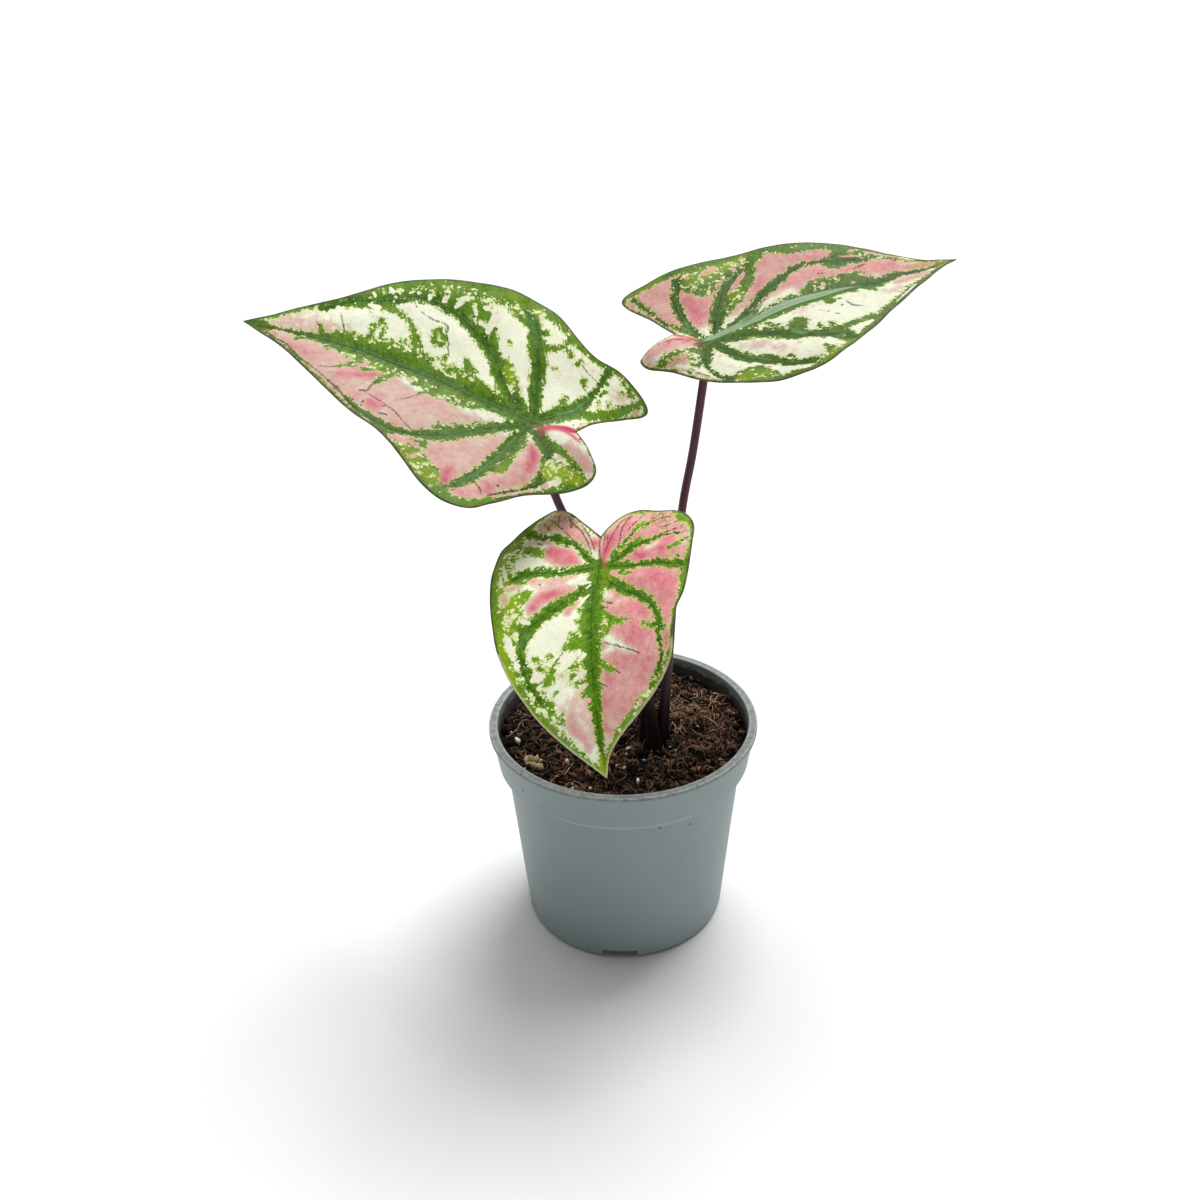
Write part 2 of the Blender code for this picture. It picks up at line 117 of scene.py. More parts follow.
class Finish:
    """A material with one Principled shader, and the nodes that feed it."""

    def __init__(self, name, **constants):
        self.material = bpy.data.materials.new(name)
        self.material.use_nodes = True
        self.tree = self.material.node_tree
        self.shader = self.tree.nodes["Principled BSDF"]
        for socket, value in constants.items():
            self.shader.inputs[socket.replace("_", " ")].default_value = value

    def plug(self, socket, value):
        """Gives a socket its value: a link from another output, a colour, or a number or vector as it is."""
        if isinstance(value, Tone):
            self.tree.links.new(value.socket, socket)
        elif isinstance(value, tuple) and socket.type == "RGBA":
            socket.default_value = (*value, 1.0)
        else:
            socket.default_value = value

    def node(self, kind, settings, sockets, output=0):
        """Adds a node with its settings and with its sockets plugged, and gives one of its outputs."""
        made = self.tree.nodes.new(kind)
        for name, value in settings.items():
            setattr(made, name, value)
        for key, value in sockets.items():
            self.plug(made.inputs[key], value)
        return Tone(self, made.outputs[output])

    def blend(self, first, second, amount):
        """The first colour where amount is 0, the second where it is 1."""
        return self.node("ShaderNodeMix", {"data_type": "RGBA"}, {0: amount, 6: first, 7: second}, 2)

    def dim(self, colour, amount):
        """A colour times a number, through Vector Math."""
        return self.node("ShaderNodeVectorMath", {"operation": "SCALE"}, {0: colour, "Scale": amount})

    def place(self):
        """The point's place on the whole object, in metres."""
        return self.node("ShaderNodeTexCoord", {}, {}, "Object")

    def part(self, vector, axis):
        """The X, Y or Z of a vector."""
        return self.node("ShaderNodeSeparateXYZ", {}, {0: vector}, axis)

    def field(self, name):
        """A number that the mesh carries on its points."""
        return self.node("ShaderNodeAttribute", {"attribute_name": name}, {}, "Fac")

    def noise(self, vector, scale, detail=2.0, roughness=0.5):
        """Noise of scale lumps to the metre, or to the millimetre on a leaf's own map."""
        sockets = {"Vector": vector, "Scale": scale, "Detail": detail, "Roughness": roughness}
        return self.node("ShaderNodeTexNoise", {}, sockets)

    def cells(self, vector, scale, feature="F1", output="Distance"):
        """A cell pattern: by default the distance to the nearest cell's middle, in cells."""
        sockets = {"Vector": vector, "Scale": scale}
        return self.node("ShaderNodeTexVoronoi", {"feature": feature}, sockets, output)

    def chance(self, vector, scale):
        """A different number from 0 to 1 for each cell of a cell pattern."""
        colour = self.cells(vector, scale, output="Color")
        return self.node("ShaderNodeSeparateColor", {}, {0: colour})

    def surface(self, colour, roughness, height=None, relief=0.0):
        """Plugs in the colour, the roughness, and a relief whose height is in millimetres."""
        self.plug(self.shader.inputs["Base Color"], colour)
        self.plug(self.shader.inputs["Roughness"], roughness)
        if height is not None:
            sockets = {"Height": height, "Distance": relief * 0.001, "Strength": 1.0}
            self.plug(self.shader.inputs["Normal"], self.node("ShaderNodeBump", {}, sockets))
        return self.material


def mesh_piece(name, points, faces, finish, flat=False, fields=None):
    """An object from points in millimetres and faces of three or four corners, with its fields as
    attributes on the points. It rides on the body, and its one material slot holds the finish."""
    data = bpy.data.meshes.new(name)
    faces = faces.tolist() if isinstance(faces, np.ndarray) else faces
    data.from_pydata((np.asarray(points) * 0.001).tolist(), [], faces)
    for field, values in (fields or {}).items():
        layer = data.attributes.new(field, "FLOAT", "POINT").data
        layer.foreach_set("value", np.ravel(values).astype(np.float32))
    data.materials.append(finish)
    data.polygons.foreach_set("use_smooth", np.full(len(data.polygons), not flat))
    data.update()
    piece = bpy.data.objects.new(name, data)
    bpy.context.scene.collection.objects.link(piece)
    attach(piece, "root")
    return piece


def turned(profile, steps):
    """Points and faces of a profile turned about Z. Point (i, j) is profile point j at angle 2 pi i / steps.
    The profile starts and ends on the axis, where each end is one point, so the shell is closed."""
    radius, height = np.asarray(profile, float).T
    angle = np.arange(steps)[:, None] * (2 * math.pi / steps)
    inner = radius[None, 1:-1]
    ring = np.stack([inner * np.cos(angle), inner * np.sin(angle), np.tile(height[1:-1], (steps, 1))], -1)
    count = ring.shape[1]
    start, end = steps * count, steps * count + 1
    i = np.arange(steps)
    after = (i + 1) % steps
    j = np.arange(count - 1)[None, :]
    a, b = i[:, None] * count + j, after[:, None] * count + j
    quads = np.stack([a, b, b + 1, a + 1], -1).reshape(-1, 4).tolist()
    caps = np.stack([np.full(steps, start), after * count, i * count], -1).tolist()
    caps += np.stack([np.full(steps, end), i * count + count - 1, after * count + count - 1], -1).tolist()
    ends = [[0, 0, height[0]], [0, 0, height[-1]]]
    return np.vstack([ring.reshape(-1, 3), ends]), quads + caps


def inner_wall(level):
    """Inside radius of the pot at a height: straight lines between the corners of its inside profile."""
    step = POT_HEIGHT - COLLAR_HEIGHT
    heights = [FLOOR, step - WALL, step + 0.6, POT_HEIGHT - 1.0]
    return np.interp(level, heights, [FOOT_RADIUS - WALL, BODY_TOP - WALL, COLLAR_BOTTOM - WALL, RIM_INSIDE])


def bead(centre, radius, first, last, steps=7):
    """Points (r, z) on an arc, from one angle to another in degrees, 0 pointing outwards and 90 up."""
    angle = np.radians(np.linspace(first, last, steps))
    return [(centre[0] + radius * math.cos(a), centre[1] + radius * math.sin(a)) for a in angle]


step = POT_HEIGHT - COLLAR_HEIGHT
pot_profile = [
    (0.0, 0.0),
    (15.0, 0.0),
    (FOOT_RADIUS - 2.2, 0.0),
    (FOOT_RADIUS - 1.9, 0.4),
    *bead((FOOT_RADIUS - 0.45, 0.95), 0.5, -90, -3),
    (FOOT_RADIUS + 0.5, 6.0),
    (FOOT_RADIUS + (BODY_TOP - FOOT_RADIUS) * 0.55, step * 0.55),
    (BODY_TOP - 0.05, step - 1.2),
    (BODY_TOP, step - 0.7),
    *bead((BODY_TOP + 0.25, step - 0.45), 0.25, 180, 100, 4),
    (COLLAR_BOTTOM - 0.75, step - 0.18),
    *bead((COLLAR_BOTTOM - 0.45, step + 0.27), 0.45, -90, 0, 6),
    (COLLAR_BOTTOM + 0.05, step + 0.9),
    (COLLAR_TOP - 0.35, POT_HEIGHT - 4.2),
    (COLLAR_TOP - 0.02, POT_HEIGHT - 1.75),
    *bead((COLLAR_TOP + 0.16, POT_HEIGHT - 1.6), 0.16, 180, 90, 4),
    (RIM_RADIUS - 0.18, POT_HEIGHT - 1.38),
    *bead((RIM_RADIUS - 0.28, POT_HEIGHT - 1.08), 0.28, -70, 0, 5),
    *bead((RIM_RADIUS - 0.55, POT_HEIGHT - 0.55), 0.55, 0, 90, 8),
    (RIM_RADIUS - 0.85, POT_HEIGHT - 0.05),
    (RIM_RADIUS - 1.15, POT_HEIGHT - 0.06),
    *bead((RIM_INSIDE + 0.45, POT_HEIGHT - 0.5), 0.45, 90, 180, 7),
    (inner_wall(POT_HEIGHT - 2.5), POT_HEIGHT - 2.5),
    (inner_wall(step + 0.6), step + 0.6),
    (inner_wall(step - WALL), step - WALL),
    (inner_wall(20.0), 20.0),
    (FOOT_RADIUS - WALL, FLOOR),
    (12.0, FLOOR),
    (0.0, FLOOR),
]

# Dark specks on the front of the pot, as (x, y, z) and a radius.
SPECKS = [
    ((14.48, -21.99, 37.87), 0.4),
    ((8.04, -25.21, 39.43), 0.3),
    ((7.97, -28.29, 49.74), 0.3),
    ((-16.99, -23.05, 43.54), 0.25),
    ((-18.86, -17.98, 34.59), 0.2),
    ((-15.3, -25.15, 50.1), 0.45),
    ((-20.99, -19.78, 45.21), 0.35),
]
SMEAR_TOP = 48.2


def moulded_plastic():
    """Grey-green polypropylene: a fine satin grain, faint flow marks up the wall, pinpoint specks, a darker,
    mottled lip with painted highlights along its outer and inner edges, a painted highlight along the front
    of the collar's lower edge, and soil smeared on the inside of the collar."""
    finish = Finish("moulded grey-green plastic", Metallic=0.0, Specular_IOR_Level=0.65)
    place = finish.place()
    x, y, z = (finish.part(place, axis) for axis in ("X", "Y", "Z"))
    height = z * 1000.0
    radius = (x * x + y * y) ** 0.5 * 1000.0
    grain = finish.noise(place, 2600.0, 3.0, 0.6)
    flow_place = finish.node("ShaderNodeMapping", {}, {"Vector": place, "Scale": (260.0, 260.0, 26.0)})
    flow = finish.noise(flow_place, 1.0, 3.0, 0.55)
    cloud = finish.noise(place, 60.0, 3.0, 0.5)
    colour = finish.blend(shade(121, 136, 136), shade(136, 152, 152), cloud * 0.6 + flow * 0.4)
    lip = height.rise(POT_HEIGHT - 0.75, POT_HEIGHT - 0.3)
    mottle_noise = finish.noise(place, 900.0, 3.0, 0.6)
    lip_colour = finish.blend(shade(86, 92, 88), shade(122, 129, 124), mottle_noise.rise(0.35, 0.65))
    colour = finish.blend(colour, lip_colour, lip * 0.9)
    # Painted highlights: paler lines on the lip's outer and inner edges, patchy with the mottle.
    near_edge = radius.band(RIM_RADIUS - 0.5, RIM_RADIUS - 0.3, RIM_RADIUS - 0.16, RIM_RADIUS - 0.02)
    far_edge = radius.band(RIM_INSIDE + 0.02, RIM_INSIDE + 0.15, RIM_INSIDE + 0.4, RIM_INSIDE + 0.55)
    painted_highlights = lip * (near_edge + far_edge * 0.8) * mottle_noise.rise(0.25, 0.5)
    colour = finish.blend(colour, shade(176, 186, 181), painted_highlights * 0.6)
    # Painted highlight: a paler line along the collar's lower edge, on the front of the pot only.
    painted_highlight_line = height.band(step - 0.15, step + 0.1, step + 0.45, step + 0.8) * y.fall(-0.0265, -0.022)
    colour = finish.blend(colour, shade(158, 170, 168), painted_highlight_line * (0.25 + 0.5 * flow))
    speck_size = finish.cells(place, 190.0)
    speck_here = finish.chance(place, 190.0).rise(0.95, 0.97)
    speck = speck_size.fall(0.05, 0.09) * speck_here
    for spot, size in SPECKS:
        sockets = {0: place, 1: tuple(0.001 * value for value in spot)}
        distance = finish.node("ShaderNodeVectorMath", {"operation": "DISTANCE"}, sockets, 1)
        speck = speck.maths("MAXIMUM", (distance * 1000.0 + mottle_noise * 0.3).fall(size, size + 0.2))
    colour = finish.blend(colour, shade(48, 50, 44), speck * 0.85)
    inside = finish.field("inner")
    splash = finish.noise(place, 620.0, 4.0, 0.65)
    reach = height + splash * 5.5 - 2.75
    smear = inside * reach.fall(SMEAR_TOP, SMEAR_TOP + 1.1)
    colour = finish.blend(colour, shade(116, 128, 124), inside)
    colour = finish.blend(colour, shade(46, 36, 28), smear * 0.9)
    roughness = 0.43 + 0.1 * grain - 0.08 * painted_highlights + 0.3 * smear
    relief = grain * 0.25 + flow * 0.35 + smear * splash * 4.0 - speck * 2.0
    return finish.surface(colour, roughness, relief, 0.05)


pot_points, pot_faces = turned(pot_profile, 240)
inner = np.hypot(pot_points[:, 0], pot_points[:, 1]) < inner_wall(pot_points[:, 2]) + 0.3
inner = {"inner": inner & (pot_points[:, 2] > 0.5)}
pot = mesh_piece("pot_shell", pot_points, pot_faces, moulded_plastic(), fields=inner)
for turn in range(3):
    bearing = DRAIN_TURN + turn * 2 * math.pi / 3
    reach = FOOT_RADIUS + 3 - DRAIN_INNER
    middle = (DRAIN_INNER + reach / 2) * 0.001
    centre = (middle * math.cos(bearing), middle * math.sin(bearing), 0.0)
    bpy.ops.mesh.primitive_cube_add(size=0.001, location=centre)
    notch = bpy.context.object
    notch.rotation_euler.z = bearing
    notch.scale = (reach, DRAIN_WIDTH, 2 * DRAIN_RISE)
    cut = pot.modifiers.new("drain", "BOOLEAN")
    cut.operation = "DIFFERENCE"
    cut.solver = "EXACT"
    cut.object = notch
    bpy.context.view_layer.objects.active = pot
    bpy.ops.object.modifier_apply(modifier="drain")
    bpy.data.objects.remove(notch, do_unlink=True)
pot.data.set_sharp_from_angle(angle=math.radians(40))
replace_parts(pot, "pot")


# The soil.
# Dark peat and coir pressed loosely into the pot to 3 mm below its lip. The filling is one body with a
# heaped, crumbly top; loose crumbs, fibres, perlite and a pale lump lie on it.

SOIL_LEVEL = 47.6
SOIL_EDGE = float(inner_wall(SOIL_LEVEL)) - 0.12
SOIL_SHOULDER = 46.0
SOIL_STEP = 41.0
SOIL_FOOT = 1.4
# Where the stalks stand, as (x, y).
CROWN = (7.0, -4.6)


def crumble(x, y, size, seed):
    """Smooth random height from -1 to 1: random values on a square lattice of the given size, blended
    between lattice points with the weight 3u^2 - 2u^3."""
    table = np.random.default_rng(seed).uniform(-1, 1, (128, 128))
    column, row = np.floor(x / size).astype(int), np.floor(y / size).astype(int)
    u, v = x / size - column, y / size - row
    u, v = u * u * (3 - 2 * u), v * v * (3 - 2 * v)
    low = table[column % 128, row % 128] * (1 - u) + table[(column + 1) % 128, row % 128] * u
    high = table[column % 128, (row + 1) % 128] * (1 - u) + table[(column + 1) % 128, (row + 1) % 128] * u
    return low * (1 - v) + high * v


def soil_height(x, y):
    """Height of the soil: broad heaps of 9 mm, clods of 3.4 and 1.7 mm and grit of 0.8 mm, lower towards the
    wall and raised a little round the stalks."""
    out = np.hypot(x, y) / SOIL_EDGE
    broad = 0.75 * crumble(x, y, 9.0, 1) + 0.6 * crumble(x + 40, y, 3.4, 2)
    fine = 0.5 * crumble(x, y + 40, 1.7, 3) + 0.28 * crumble(x, y, 0.8, 4)
    collar = 0.7 * np.exp(-((np.hypot(x - CROWN[0], y - CROWN[1]) / 4.5) ** 2))
    return SOIL_LEVEL - 0.5 + (broad + fine) * (1 - 0.35 * out**4) + collar - 0.5 * np.clip(out, 0, 1) ** 6


def potting_mix(name, darkest, dry, red, relief=0.16):
    """Peat: near-black in its hollows and red-brown on its grains, dull, with a coarse grain; on the filling,
    the near-black that shows in the gaps between crumbs is painted shade. The field called tone, from 0 to 1,
    tells one crumb from the next, and on the loose crumbs it also carries painted shade."""
    finish = Finish(name, Metallic=0.0, Specular_IOR_Level=0.14)
    place = finish.place()
    tone = finish.field("tone")
    coarse = finish.noise(place, 900.0, 4.0, 0.65)
    fine = finish.noise(place, 3200.0, 3.0, 0.7)
    mix = tone * 0.65 + coarse * 0.55 + fine * 0.25 - 0.25
    colour = finish.blend(darkest, dry, mix.rise(0.15, 0.95))
    russet = finish.noise(place, 400.0, 2.0).rise(0.5, 0.7) * mix.rise(0.3, 0.7)
    colour = finish.blend(colour, red, russet * 0.7)
    return finish.surface(colour, 0.82 + 0.15 * coarse, coarse * 0.6 + fine * 0.4, relief)


rows = 112
radius = SOIL_EDGE * np.linspace(0, 1, rows) ** 0.92
sides = [(inner_wall(level) - 0.3, level) for level in (SOIL_STEP, SOIL_FOOT)]
sides = [(SOIL_EDGE, SOIL_SHOULDER), *sides, (0.0, SOIL_FOOT)]
soil_points, soil_faces = turned([(r, SOIL_LEVEL) for r in radius] + sides, 320)
top = soil_points[:, 2] > SOIL_LEVEL - 0.6
# The filling's own top is 0.3 mm lower than the level that the loose crumbs lie on.
soil_points[top, 2] = soil_height(soil_points[top, 0], soil_points[top, 1]) - 0.3
soil_faces = [face[::-1] for face in soil_faces]
# The filling is near-black so that it reads as the shade in the gaps between the crumbs: painted shade.
dark_mix = potting_mix("damp potting mix", shade(7, 4, 2), shade(46, 28, 18), shade(60, 32, 20))
soil_tone = 0.35 + 0.35 * crumble(soil_points[:, 0], soil_points[:, 1], 1.3, 5)
soil = mesh_piece("soil_filling", soil_points, soil_faces, dark_mix, fields={"tone": soil_tone})
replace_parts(soil, "soil")

GOLD = (1 + math.sqrt(5)) / 2
LUMP_POINTS = np.array(
    [(-1, GOLD, 0), (1, GOLD, 0), (-1, -GOLD, 0), (1, -GOLD, 0), (0, -1, GOLD), (0, 1, GOLD)]
    + [(0, -1, -GOLD), (0, 1, -GOLD), (GOLD, 0, -1), (GOLD, 0, 1), (-GOLD, 0, -1), (-GOLD, 0, 1)]
) / math.hypot(1, GOLD)
LUMP_FACES = np.array(
    [(0, 11, 5), (0, 5, 1), (0, 1, 7), (0, 7, 10), (0, 10, 11), (1, 5, 9), (5, 11, 4), (11, 10, 2)]
    + [(10, 7, 6), (7, 1, 8), (3, 9, 4), (3, 4, 2), (3, 2, 6), (3, 6, 8), (3, 8, 9), (4, 9, 5)]
    + [(2, 4, 11), (6, 2, 10), (8, 6, 7), (9, 8, 1)]
)


def scattered(count, rng, inset=0.6):
    """Random places on the soil, even over its area and kept off the stalks."""
    bearing = rng.uniform(0, 2 * math.pi, count * 2)
    out = (SOIL_EDGE - inset) * np.sqrt(rng.uniform(0, 1, count * 2))
    x, y = out * np.cos(bearing), out * np.sin(bearing)
    clear = np.hypot(x - CROWN[0], y - CROWN[1]) > 3.0
    return x[clear][:count], y[clear][:count]


def lumps(x, y, z, size, rng, rough=0.28, flat=0.75):
    """Twenty-sided lumps: each corner of an icosahedron pushed in or out at random, then stretched along
    three axes, turned at random, pressed a little flat and set down at its place."""
    count, corners = len(x), len(LUMP_POINTS)
    shape = LUMP_POINTS[None] * (1 + rough * rng.uniform(-1, 1, (count, corners, 1)))
    shape = shape * rng.uniform((0.7, 0.4, 0.4), (1.7, 1.0, 0.9), (count, 3))[:, None] * size[:, None, None]
    frames = np.linalg.qr(rng.normal(size=(count, 3, 3)))[0]
    frames *= np.sign(np.linalg.det(frames))[:, None, None]
    shape = np.einsum("nvi,nij->nvj", shape, frames) * (1, 1, flat)
    points = shape + np.stack([x, y, z], -1)[:, None]
    faces = LUMP_FACES[None] + corners * np.arange(count)[:, None, None]
    return points.reshape(-1, 3), faces.reshape(-1, 3)


def crumbs():
    """Crumbs of peat up to 3.7 mm long, most of them under 1 mm. Some are sunk and some lie on others; round
    the stalks and at the left they are painted darker, as shade."""
    rng = np.random.default_rng(11)
    x, y = scattered(3400, rng)
    size = 0.22 + 0.85 * rng.uniform(0, 1, len(x)) ** 3.2
    size[-50:] = rng.uniform(0.7, 1.1, 50)
    level = soil_height(x, y) + size * rng.uniform(-0.5, 0.7, len(x))
    points, faces = lumps(x, y, level, size, rng, rough=0.62)
    # Painted shade: crumbs round the stalks and at the left are made darker.
    painted_shade = 0.35 * np.exp(-((np.hypot(x - CROWN[0] + 1.5, y - CROWN[1]) / 7.0) ** 2))
    painted_shade += 0.45 * np.exp(-((np.hypot(x + 22.0, y + 3.0) / 10.0) ** 2))
    tone = np.clip(rng.normal(0.27, 0.36, len(x)) - painted_shade, 0, 1)
    return points, faces, np.repeat(tone, len(LUMP_POINTS))


crumb_points, crumb_faces, crumb_tone = crumbs()
crumb_mix = potting_mix("loose peat crumbs", shade(10, 4, 2), shade(150, 108, 78), shade(104, 52, 34), 0.35)
mesh_piece("soil_crumbs", crumb_points, crumb_faces, crumb_mix, fields={"tone": crumb_tone})


FIBRE_STOPS = 9


def strands(x, y, length, bearing, bend, lift, width):
    """Thin four-sided fibres lying on the soil. Point j of a fibre goes along a path whose bearing changes
    by bend from end to end, with a sway of 0.5; its height is the soil's plus a low arch, and its ends are
    thin and closed."""
    along = np.linspace(0, 1, FIBRE_STOPS)[None]
    turn = bearing[:, None] + bend[:, None] * (along - 0.5) + 0.5 * np.sin(5.0 * along + bearing[:, None] * 3)
    stride = length[:, None] / (FIBRE_STOPS - 1)
    px = x[:, None] + np.cumsum(np.cos(turn) * stride, 1) - length[:, None] * 0.5 * np.cos(bearing[:, None])
    py = y[:, None] + np.cumsum(np.sin(turn) * stride, 1) - length[:, None] * 0.5 * np.sin(bearing[:, None])
    far = np.maximum(np.hypot(px, py) / (SOIL_EDGE - 0.4), 1.0)
    px, py = px / far, py / far
    pz = soil_height(px, py) + 0.25 + lift[:, None] * np.sin(math.pi * along)
    path = np.stack([px, py, pz], -1)
    ahead = np.gradient(path, axis=1)
    ahead /= np.linalg.norm(ahead, axis=2, keepdims=True) + 1e-9
    side = np.cross(ahead, (0.0, 0.0, 1.0))
    side /= np.linalg.norm(side, axis=2, keepdims=True) + 1e-9
    rise = np.cross(side, ahead)
    thick = (width[:, None] * (0.45 + 0.55 * np.sin(math.pi * (0.12 + 0.76 * along))))[..., None, None]
    around = np.array([(1, 0), (0, 1), (-1, 0), (0, -1)], float)
    across = around[None, None, :, :1] * side[:, :, None]
    upward = around[None, None, :, 1:] * rise[:, :, None]
    ring = path[:, :, None] + thick * (across + upward)
    count = len(x)
    first = np.arange(count)[:, None, None] * FIBRE_STOPS * 4
    j = np.arange(FIBRE_STOPS - 1)[None, :, None] * 4
    k = np.arange(4)[None, None, :]
    a, b = first + j + k, first + j + (k + 1) % 4
    walls = np.stack([a, a + 4, b + 4, b], -1).reshape(-1, 4)
    near = first[:, 0] + np.array([[0, 1, 2, 3]])
    last = first[:, 0] + (FIBRE_STOPS - 1) * 4 + np.array([[3, 2, 1, 0]])
    return ring.reshape(-1, 3), np.vstack([walls, near, last])


def fibre_finish(name, dark, pale):
    """Coir: dry plant fibre, tan to brown from one strand to the next."""
    finish = Finish(name, Metallic=0.0, Specular_IOR_Level=0.35)
    place = finish.place()
    worn = finish.noise(place, 1500.0, 3.0, 0.6)
    colour = finish.blend(dark, pale, (finish.field("tone") * 0.8 + worn * 0.5 - 0.15).rise(0.1, 0.95))
    return finish.surface(colour, 0.7, worn, 0.04)


def fibre_group(name, count, seed, finish, lengths, widths, lifts, near=None):
    """Fibres at random over the soil, or about a place given as (x, y, spread). Lengths, widths and lifts are
    the least and the most."""
    rng = np.random.default_rng(seed)
    x, y = scattered(count, rng, 2.0)
    if near:
        x = near[0] + near[2] * rng.normal(size=len(x))
        y = near[1] + near[2] * rng.normal(size=len(x))
    length = rng.uniform(*lengths, len(x))
    bearing = rng.uniform(0, 2 * math.pi, len(x))
    bend = rng.normal(0, 1.5, len(x))
    lift = rng.uniform(*lifts, len(x))
    width = rng.uniform(*widths, len(x))
    points, faces = strands(x, y, length, bearing, bend, lift, width)
    tone = np.repeat(rng.uniform(0, 1, len(x)) ** 1.8, 4 * FIBRE_STOPS)
    return mesh_piece(name, points, faces, finish, fields={"tone": tone})


coir = fibre_finish("coir fibre", shade(20, 10, 6), shade(158, 118, 88))
fibre_group("soil_coir_short", 1600, 21, coir, (1.0, 3.8), (0.04, 0.13), (-0.1, 0.7))
fibre_group("soil_coir_long", 130, 22, coir, (5.0, 10.0), (0.06, 0.11), (0.1, 0.9))
straw = fibre_finish("pale rootlets", shade(122, 92, 58), shade(198, 170, 130))
fibre_group("soil_rootlets", 30, 23, straw, (4.0, 9.0), (0.06, 0.11), (0.2, 1.1))
fibre_group("soil_tangle", 80, 24, straw, (2.0, 6.0), (0.05, 0.1), (0.2, 1.2), near=(14.0, 7.0, 3.6))


def mineral(name, dark, pale):
    """Perlite and dry clods: a chalky body full of pits, dull, with soil in the hollows."""
    finish = Finish(name, Metallic=0.0, Specular_IOR_Level=0.4)
    place = finish.place()
    pits = finish.noise(place, 1700.0, 4.0, 0.7)
    colour = finish.blend(dark, pale, pits.rise(0.3, 0.55))
    return finish.surface(colour, 0.85, pits, 0.15)


def perlite():
    """Grains of puffed glass: small ones up to 1.4 mm long, lying at random, and eleven larger ones, each at
    its own place, as (x, y, size)."""
    rng = np.random.default_rng(31)
    x, y = scattered(46, rng)
    size = 0.22 + 0.2 * rng.uniform(0, 1, len(x)) ** 2
    large = [(21.3, 14.6, 0.5), (1.1, -7.6, 0.6), (0.7, -9.4, 0.6), (4.6, -11.6, 0.55), (0.4, -14.5, 0.6),
             (-11.9, -13.8, 0.7), (-25.2, -2.2, 0.5), (-10.2, -21.9, 0.7), (-6.6, -22.2, 0.6),
             (3.4, -18.8, 0.8), (-23.3, -5.7, 0.9)]
    x, y, size = (np.concatenate(pair) for pair in zip((x, y, size), np.transpose(large)))
    return lumps(x, y, soil_height(x, y) + size * 0.8, size, rng, rough=0.18, flat=0.9)


perlite_points, perlite_faces = perlite()
chalk = mineral("white perlite", shade(150, 136, 112), shade(232, 226, 208))
mesh_piece("soil_perlite", perlite_points, perlite_faces, chalk)


def pale_lump():
    """The pale lump: eight rough clods pressed together, 5 mm long, at the left of the pot's front."""
    rng = np.random.default_rng(37)
    x = np.array([-20.6, -19.3, -18.0, -20.2, -18.9, -17.7, -19.6, -18.5])
    y = np.array([-12.0, -12.5, -12.9, -13.7, -14.3, -14.4, -13.2, -13.5])
    size = np.array([1.2, 1.4, 1.1, 1.1, 1.3, 0.9, 1.2, 1.1])
    raised = (0.4, 0.6, 0.3, 0.4, 0.4, 0.2, 1.3, 1.2)
    return lumps(x, y, soil_height(x, y) + raised, size, rng, rough=0.4, flat=0.95)


lump_points, lump_faces = pale_lump()
loam = mineral("pale clod", shade(70, 50, 30), shade(184, 164, 122))
mesh_piece("soil_pale_lump", lump_points, lump_faces, loam)


# The tuber.
# The swollen underground stem that the stalks grow from: brown, scaly skin with low growth rings. It is
# wholly buried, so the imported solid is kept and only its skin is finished.


def tuber_skin():
    """Brown bark in rings of 1.3 mm, darker in the furrows between them."""
    finish = Finish("tuber skin", Metallic=0.0)
    place = finish.place()
    bark = finish.noise(place, 700.0, 4.0, 0.65)
    ring = (finish.part(place, "Z") * 4800.0 + bark * 2.0).maths("SINE") * 0.5 + 0.5
    colour = finish.blend(shade(66, 42, 28), shade(138, 100, 68), ring * 0.6 + bark * 0.4)
    return finish.surface(colour, 0.85, ring * 0.5 + bark, 0.3)


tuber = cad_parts["tuber"]
for socket in tuber.material_slots:
    socket.material = tuber_skin()


# The leaf stalks.
# Smooth dark purple stalks of 1.7 mm that rise from the tuber in one clump. Each is widened near the soil by
# its sheath, whose thin edge stands as a low ridge with a painted highlight along it, and flares a little
# where it turns into the blade. Towards the soil their colour is painted near-black, as shade.

LEAVES = {
    "left": {
        "joint": (-16.3, -4.0, 121.0),
        "heading": 180,
        "rise": 30,
        "roll": -31,
        "fold": 14,
        "bend_ahead": 0.008,
        "bend_behind": 0.004,
        "camber": 0.0014,
        "ripple": (0.5, 26.0, 0.6, 2.2),
        "sinus_lift": 2.6,
        "stalk": [(5.3, -3.6, 48), (3.8, -4.2, 68.2), (-4.3, -4.3, 87.4), (-12.6, -4.2, 105.3)],
    },
    "right": {
        "joint": (17.4, 2.0, 135.2),
        "heading": 17,
        "rise": 21,
        "roll": 14,
        "fold": 11,
        "bend_ahead": 0.0055,
        "bend_behind": 0.004,
        "camber": 0.0014,
        "ripple": (0.5, 23.0, 1.0, 3.0),
        "sinus_lift": 3.4,
        "stalk": [(8.6, -3.8, 48), (10.1, -3.3, 68.4), (10.8, -2.7, 81.8), (12.4, -1.5, 101.7),
                  (14.6, -0.3, 115.3)],
    },
    "front": {
        "joint": (-3.4, -26.0, 101.7),
        "heading": -95,
        "rise": -24,
        "roll": 19,
        "fold": 12,
        "bend_ahead": 0.017,
        "bend_behind": 0.004,
        "camber": 0.0012,
        "ripple": (0.45, 21.0, 2.0, 0.2),
        "sinus_lift": 1.6,
        "stalk": [(6.8, -6.7, 48), (5.6, -8.6, 62), (3.7, -12.4, 77), (0.4, -19.0, 91)],
    },
}
STALK_RADIUS = 0.85
SHEATH_RADIUS = 1.75
SHEATH_LENGTH = 24.0
FLARE_LENGTH = 2.4
BURIED_LENGTH = 12.0
FOLD_SOFT = 3.0
RIPPLE_REACH = 20.0
SINUS_BACK = 9.0
SINUS_SPREAD = 5.0


